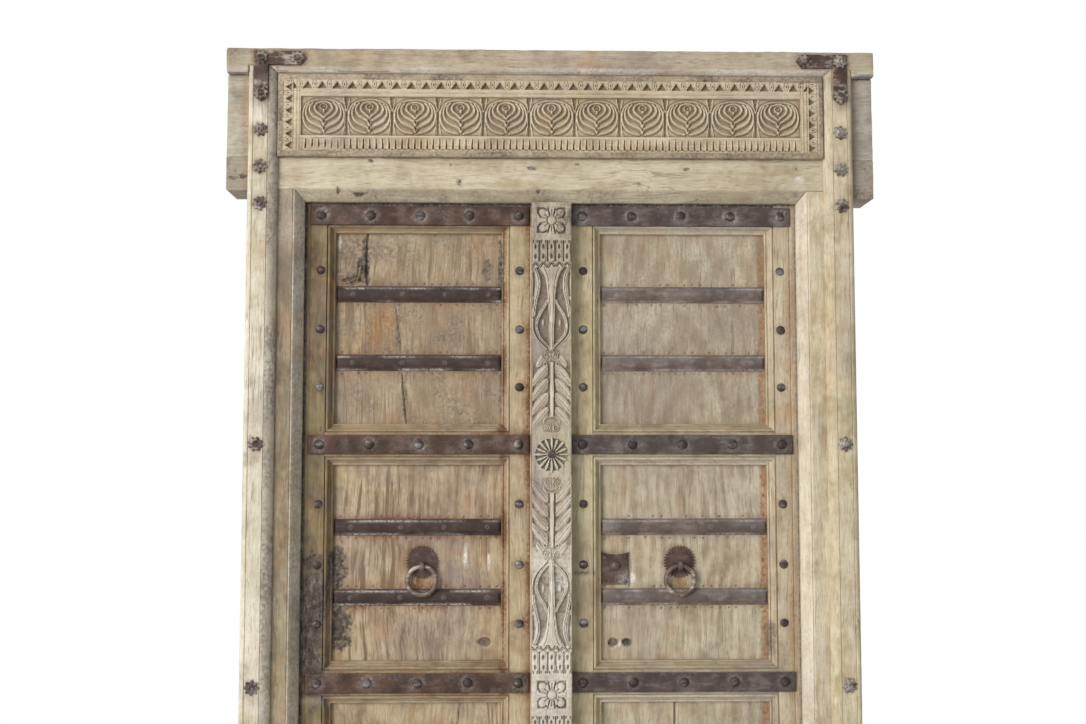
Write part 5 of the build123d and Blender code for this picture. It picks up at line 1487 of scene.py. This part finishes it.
RING_RADIUS, RING_WIRE = 29.6, 4.8
RING_Y, RING_CENTRE_Z = 4.0, 1261.5
for hand, side in HANDS.items():
    plate = toothed_plate(34.3, 6.0, 32, 3.0)
    plate.data.transform(Matrix.Translation(Vector((side * PULL_X, PANEL_FRONT, PULL_Z)) * MM))
    plate.name = f"{hand}_toothed_plate"
    smooth(plate, 25.0)
    seat(plate, plate_iron, f"{hand}_pull_plate")
    bpy.ops.object.select_all(action="DESELECT")
    bpy.ops.mesh.primitive_torus_add(
        major_segments=56, minor_segments=14, major_radius=RING_RADIUS * MM, minor_radius=RING_WIRE * MM
    )
    ring = bpy.context.object
    ring.name = f"{hand}_forged_ring"
    middle = np.array([side * PULL_X, RING_Y, RING_CENTRE_Z])
    ring.data.transform(Matrix.Translation(Vector(middle) * MM) @ Matrix.Rotation(math.pi / 2.0, 4, "X"))
    points = points_of(ring)
    worn = 1.0 - 0.012 * (1.0 + soft_noise(points, 11.0, 80.0 + side))
    put_points(ring, middle + (points - middle) * worn[:, None])
    smooth(ring, 60.0)
    seat(ring, pull_iron, f"{hand}_pull_ring")

lock = forged("lock_plate", 0.9, 5.0, 0.5, 90.0, plate_iron)
points = points_of(lock)
mark(lock, "pale", 0.5 * smoothstep(1290.0, 1262.0, points[:, 2]) * smoothstep(126.0, 148.0, points[:, 0]))
knobs = hammered(dome(9.5, 5.5), [(130.9, PANEL_FRONT - 3.0, 1292.0)], "lock_knob", 91.0)
corners = [(110.5, 1258.8), (153.5, 1258.8), (153.5, 1308.5), (110.5, 1308.5)]
nails = hammered(dome(4.6, 2.6), [(x, PANEL_FRONT - 3.0, z) for x, z in corners], "lock_nails", 92.0)
fittings = joined([knobs, nails], "lock_knob_and_nails")
smooth(fittings)
lay(fittings, nail_iron, "lock_plate")


# Stage, light and camera
bpy.ops.object.select_all(action="DESELECT")
bpy.ops.mesh.primitive_plane_add(size=7.6, location=(0.0, 0.0, -0.0005))
floor = bpy.context.object
floor.name = "pale_floor"
pale = Finish("pale_floor")
floor_place = pale.add("TexCoord").outputs["Object"]
floor_tone = pale.mix(pale.noise(floor_place, 6.0), colour(226, 226, 224), colour(234, 234, 232))
pale.feed(pale.shader.inputs["Base Color"], floor_tone)
pale.shader.inputs["Roughness"].default_value = 0.8
floor.data.materials.append(pale.material)
floor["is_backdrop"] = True

world = bpy.data.worlds.new("white_studio")
scene.world = world
world.use_nodes = True
sky = world.node_tree
for node in list(sky.nodes):
    sky.nodes.remove(node)
rays = sky.nodes.new("ShaderNodeLightPath")
seen = sky.nodes.new("ShaderNodeMath")
seen.operation = "MAXIMUM"
sky.links.new(rays.outputs["Is Camera Ray"], seen.inputs[0])
sky.links.new(rays.outputs["Is Glossy Ray"], seen.inputs[1])
ambient = sky.nodes.new("ShaderNodeBackground")
ambient.inputs["Color"].default_value = (0.9, 0.96, 1.0, 1.0)
ambient.inputs["Strength"].default_value = 0.5
white = sky.nodes.new("ShaderNodeBackground")
white.inputs["Color"].default_value = (1.0, 1.0, 1.0, 1.0)
white.inputs["Strength"].default_value = 1.0
blend = sky.nodes.new("ShaderNodeMixShader")
out = sky.nodes.new("ShaderNodeOutputWorld")
sky.links.new(seen.outputs[0], blend.inputs[0])
sky.links.new(ambient.outputs[0], blend.inputs[1])
sky.links.new(white.outputs[0], blend.inputs[2])
sky.links.new(blend.outputs[0], out.inputs[0])


def lamp(name, place, target, size, power):
    light = bpy.data.lights.new(name, "AREA")
    light.shape = "SQUARE"
    light.size = size
    light.energy = power
    light.color = (1.0, 0.99, 0.975)
    holder = bpy.data.objects.new(name, light)
    holder.location = place
    holder.rotation_euler = (Vector(target) - Vector(place)).to_track_quat("-Z", "Y").to_euler()
    scene.collection.objects.link(holder)


lamp("left_window", (-5.0, -5.2, 3.1), (0.0, 0.0, 1.3), 4.4, 530.0)
lamp("back_fill", (2.4, 3.6, 2.8), (0.0, 0.0, 1.2), 2.4, 90.0)

eye = bpy.data.cameras.new("photo_camera")
eye.sensor_width = 36.0
eye.lens = 36.0 * 1300.0 / 1086.0
eye.clip_end = 50.0
camera = bpy.data.objects.new("photo_camera", eye)
camera.location = (-0.084, -2.685, 1.511)
camera.rotation_euler = (math.radians(90.0 + 4.24), 0.0, math.radians(-1.43))
scene.collection.objects.link(camera)
scene.camera = camera
scene.view_settings.view_transform = "Standard"

low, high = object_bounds()
{"cad": [list(cad_low), list(cad_high)], "visual": [list(low), list(high)]}
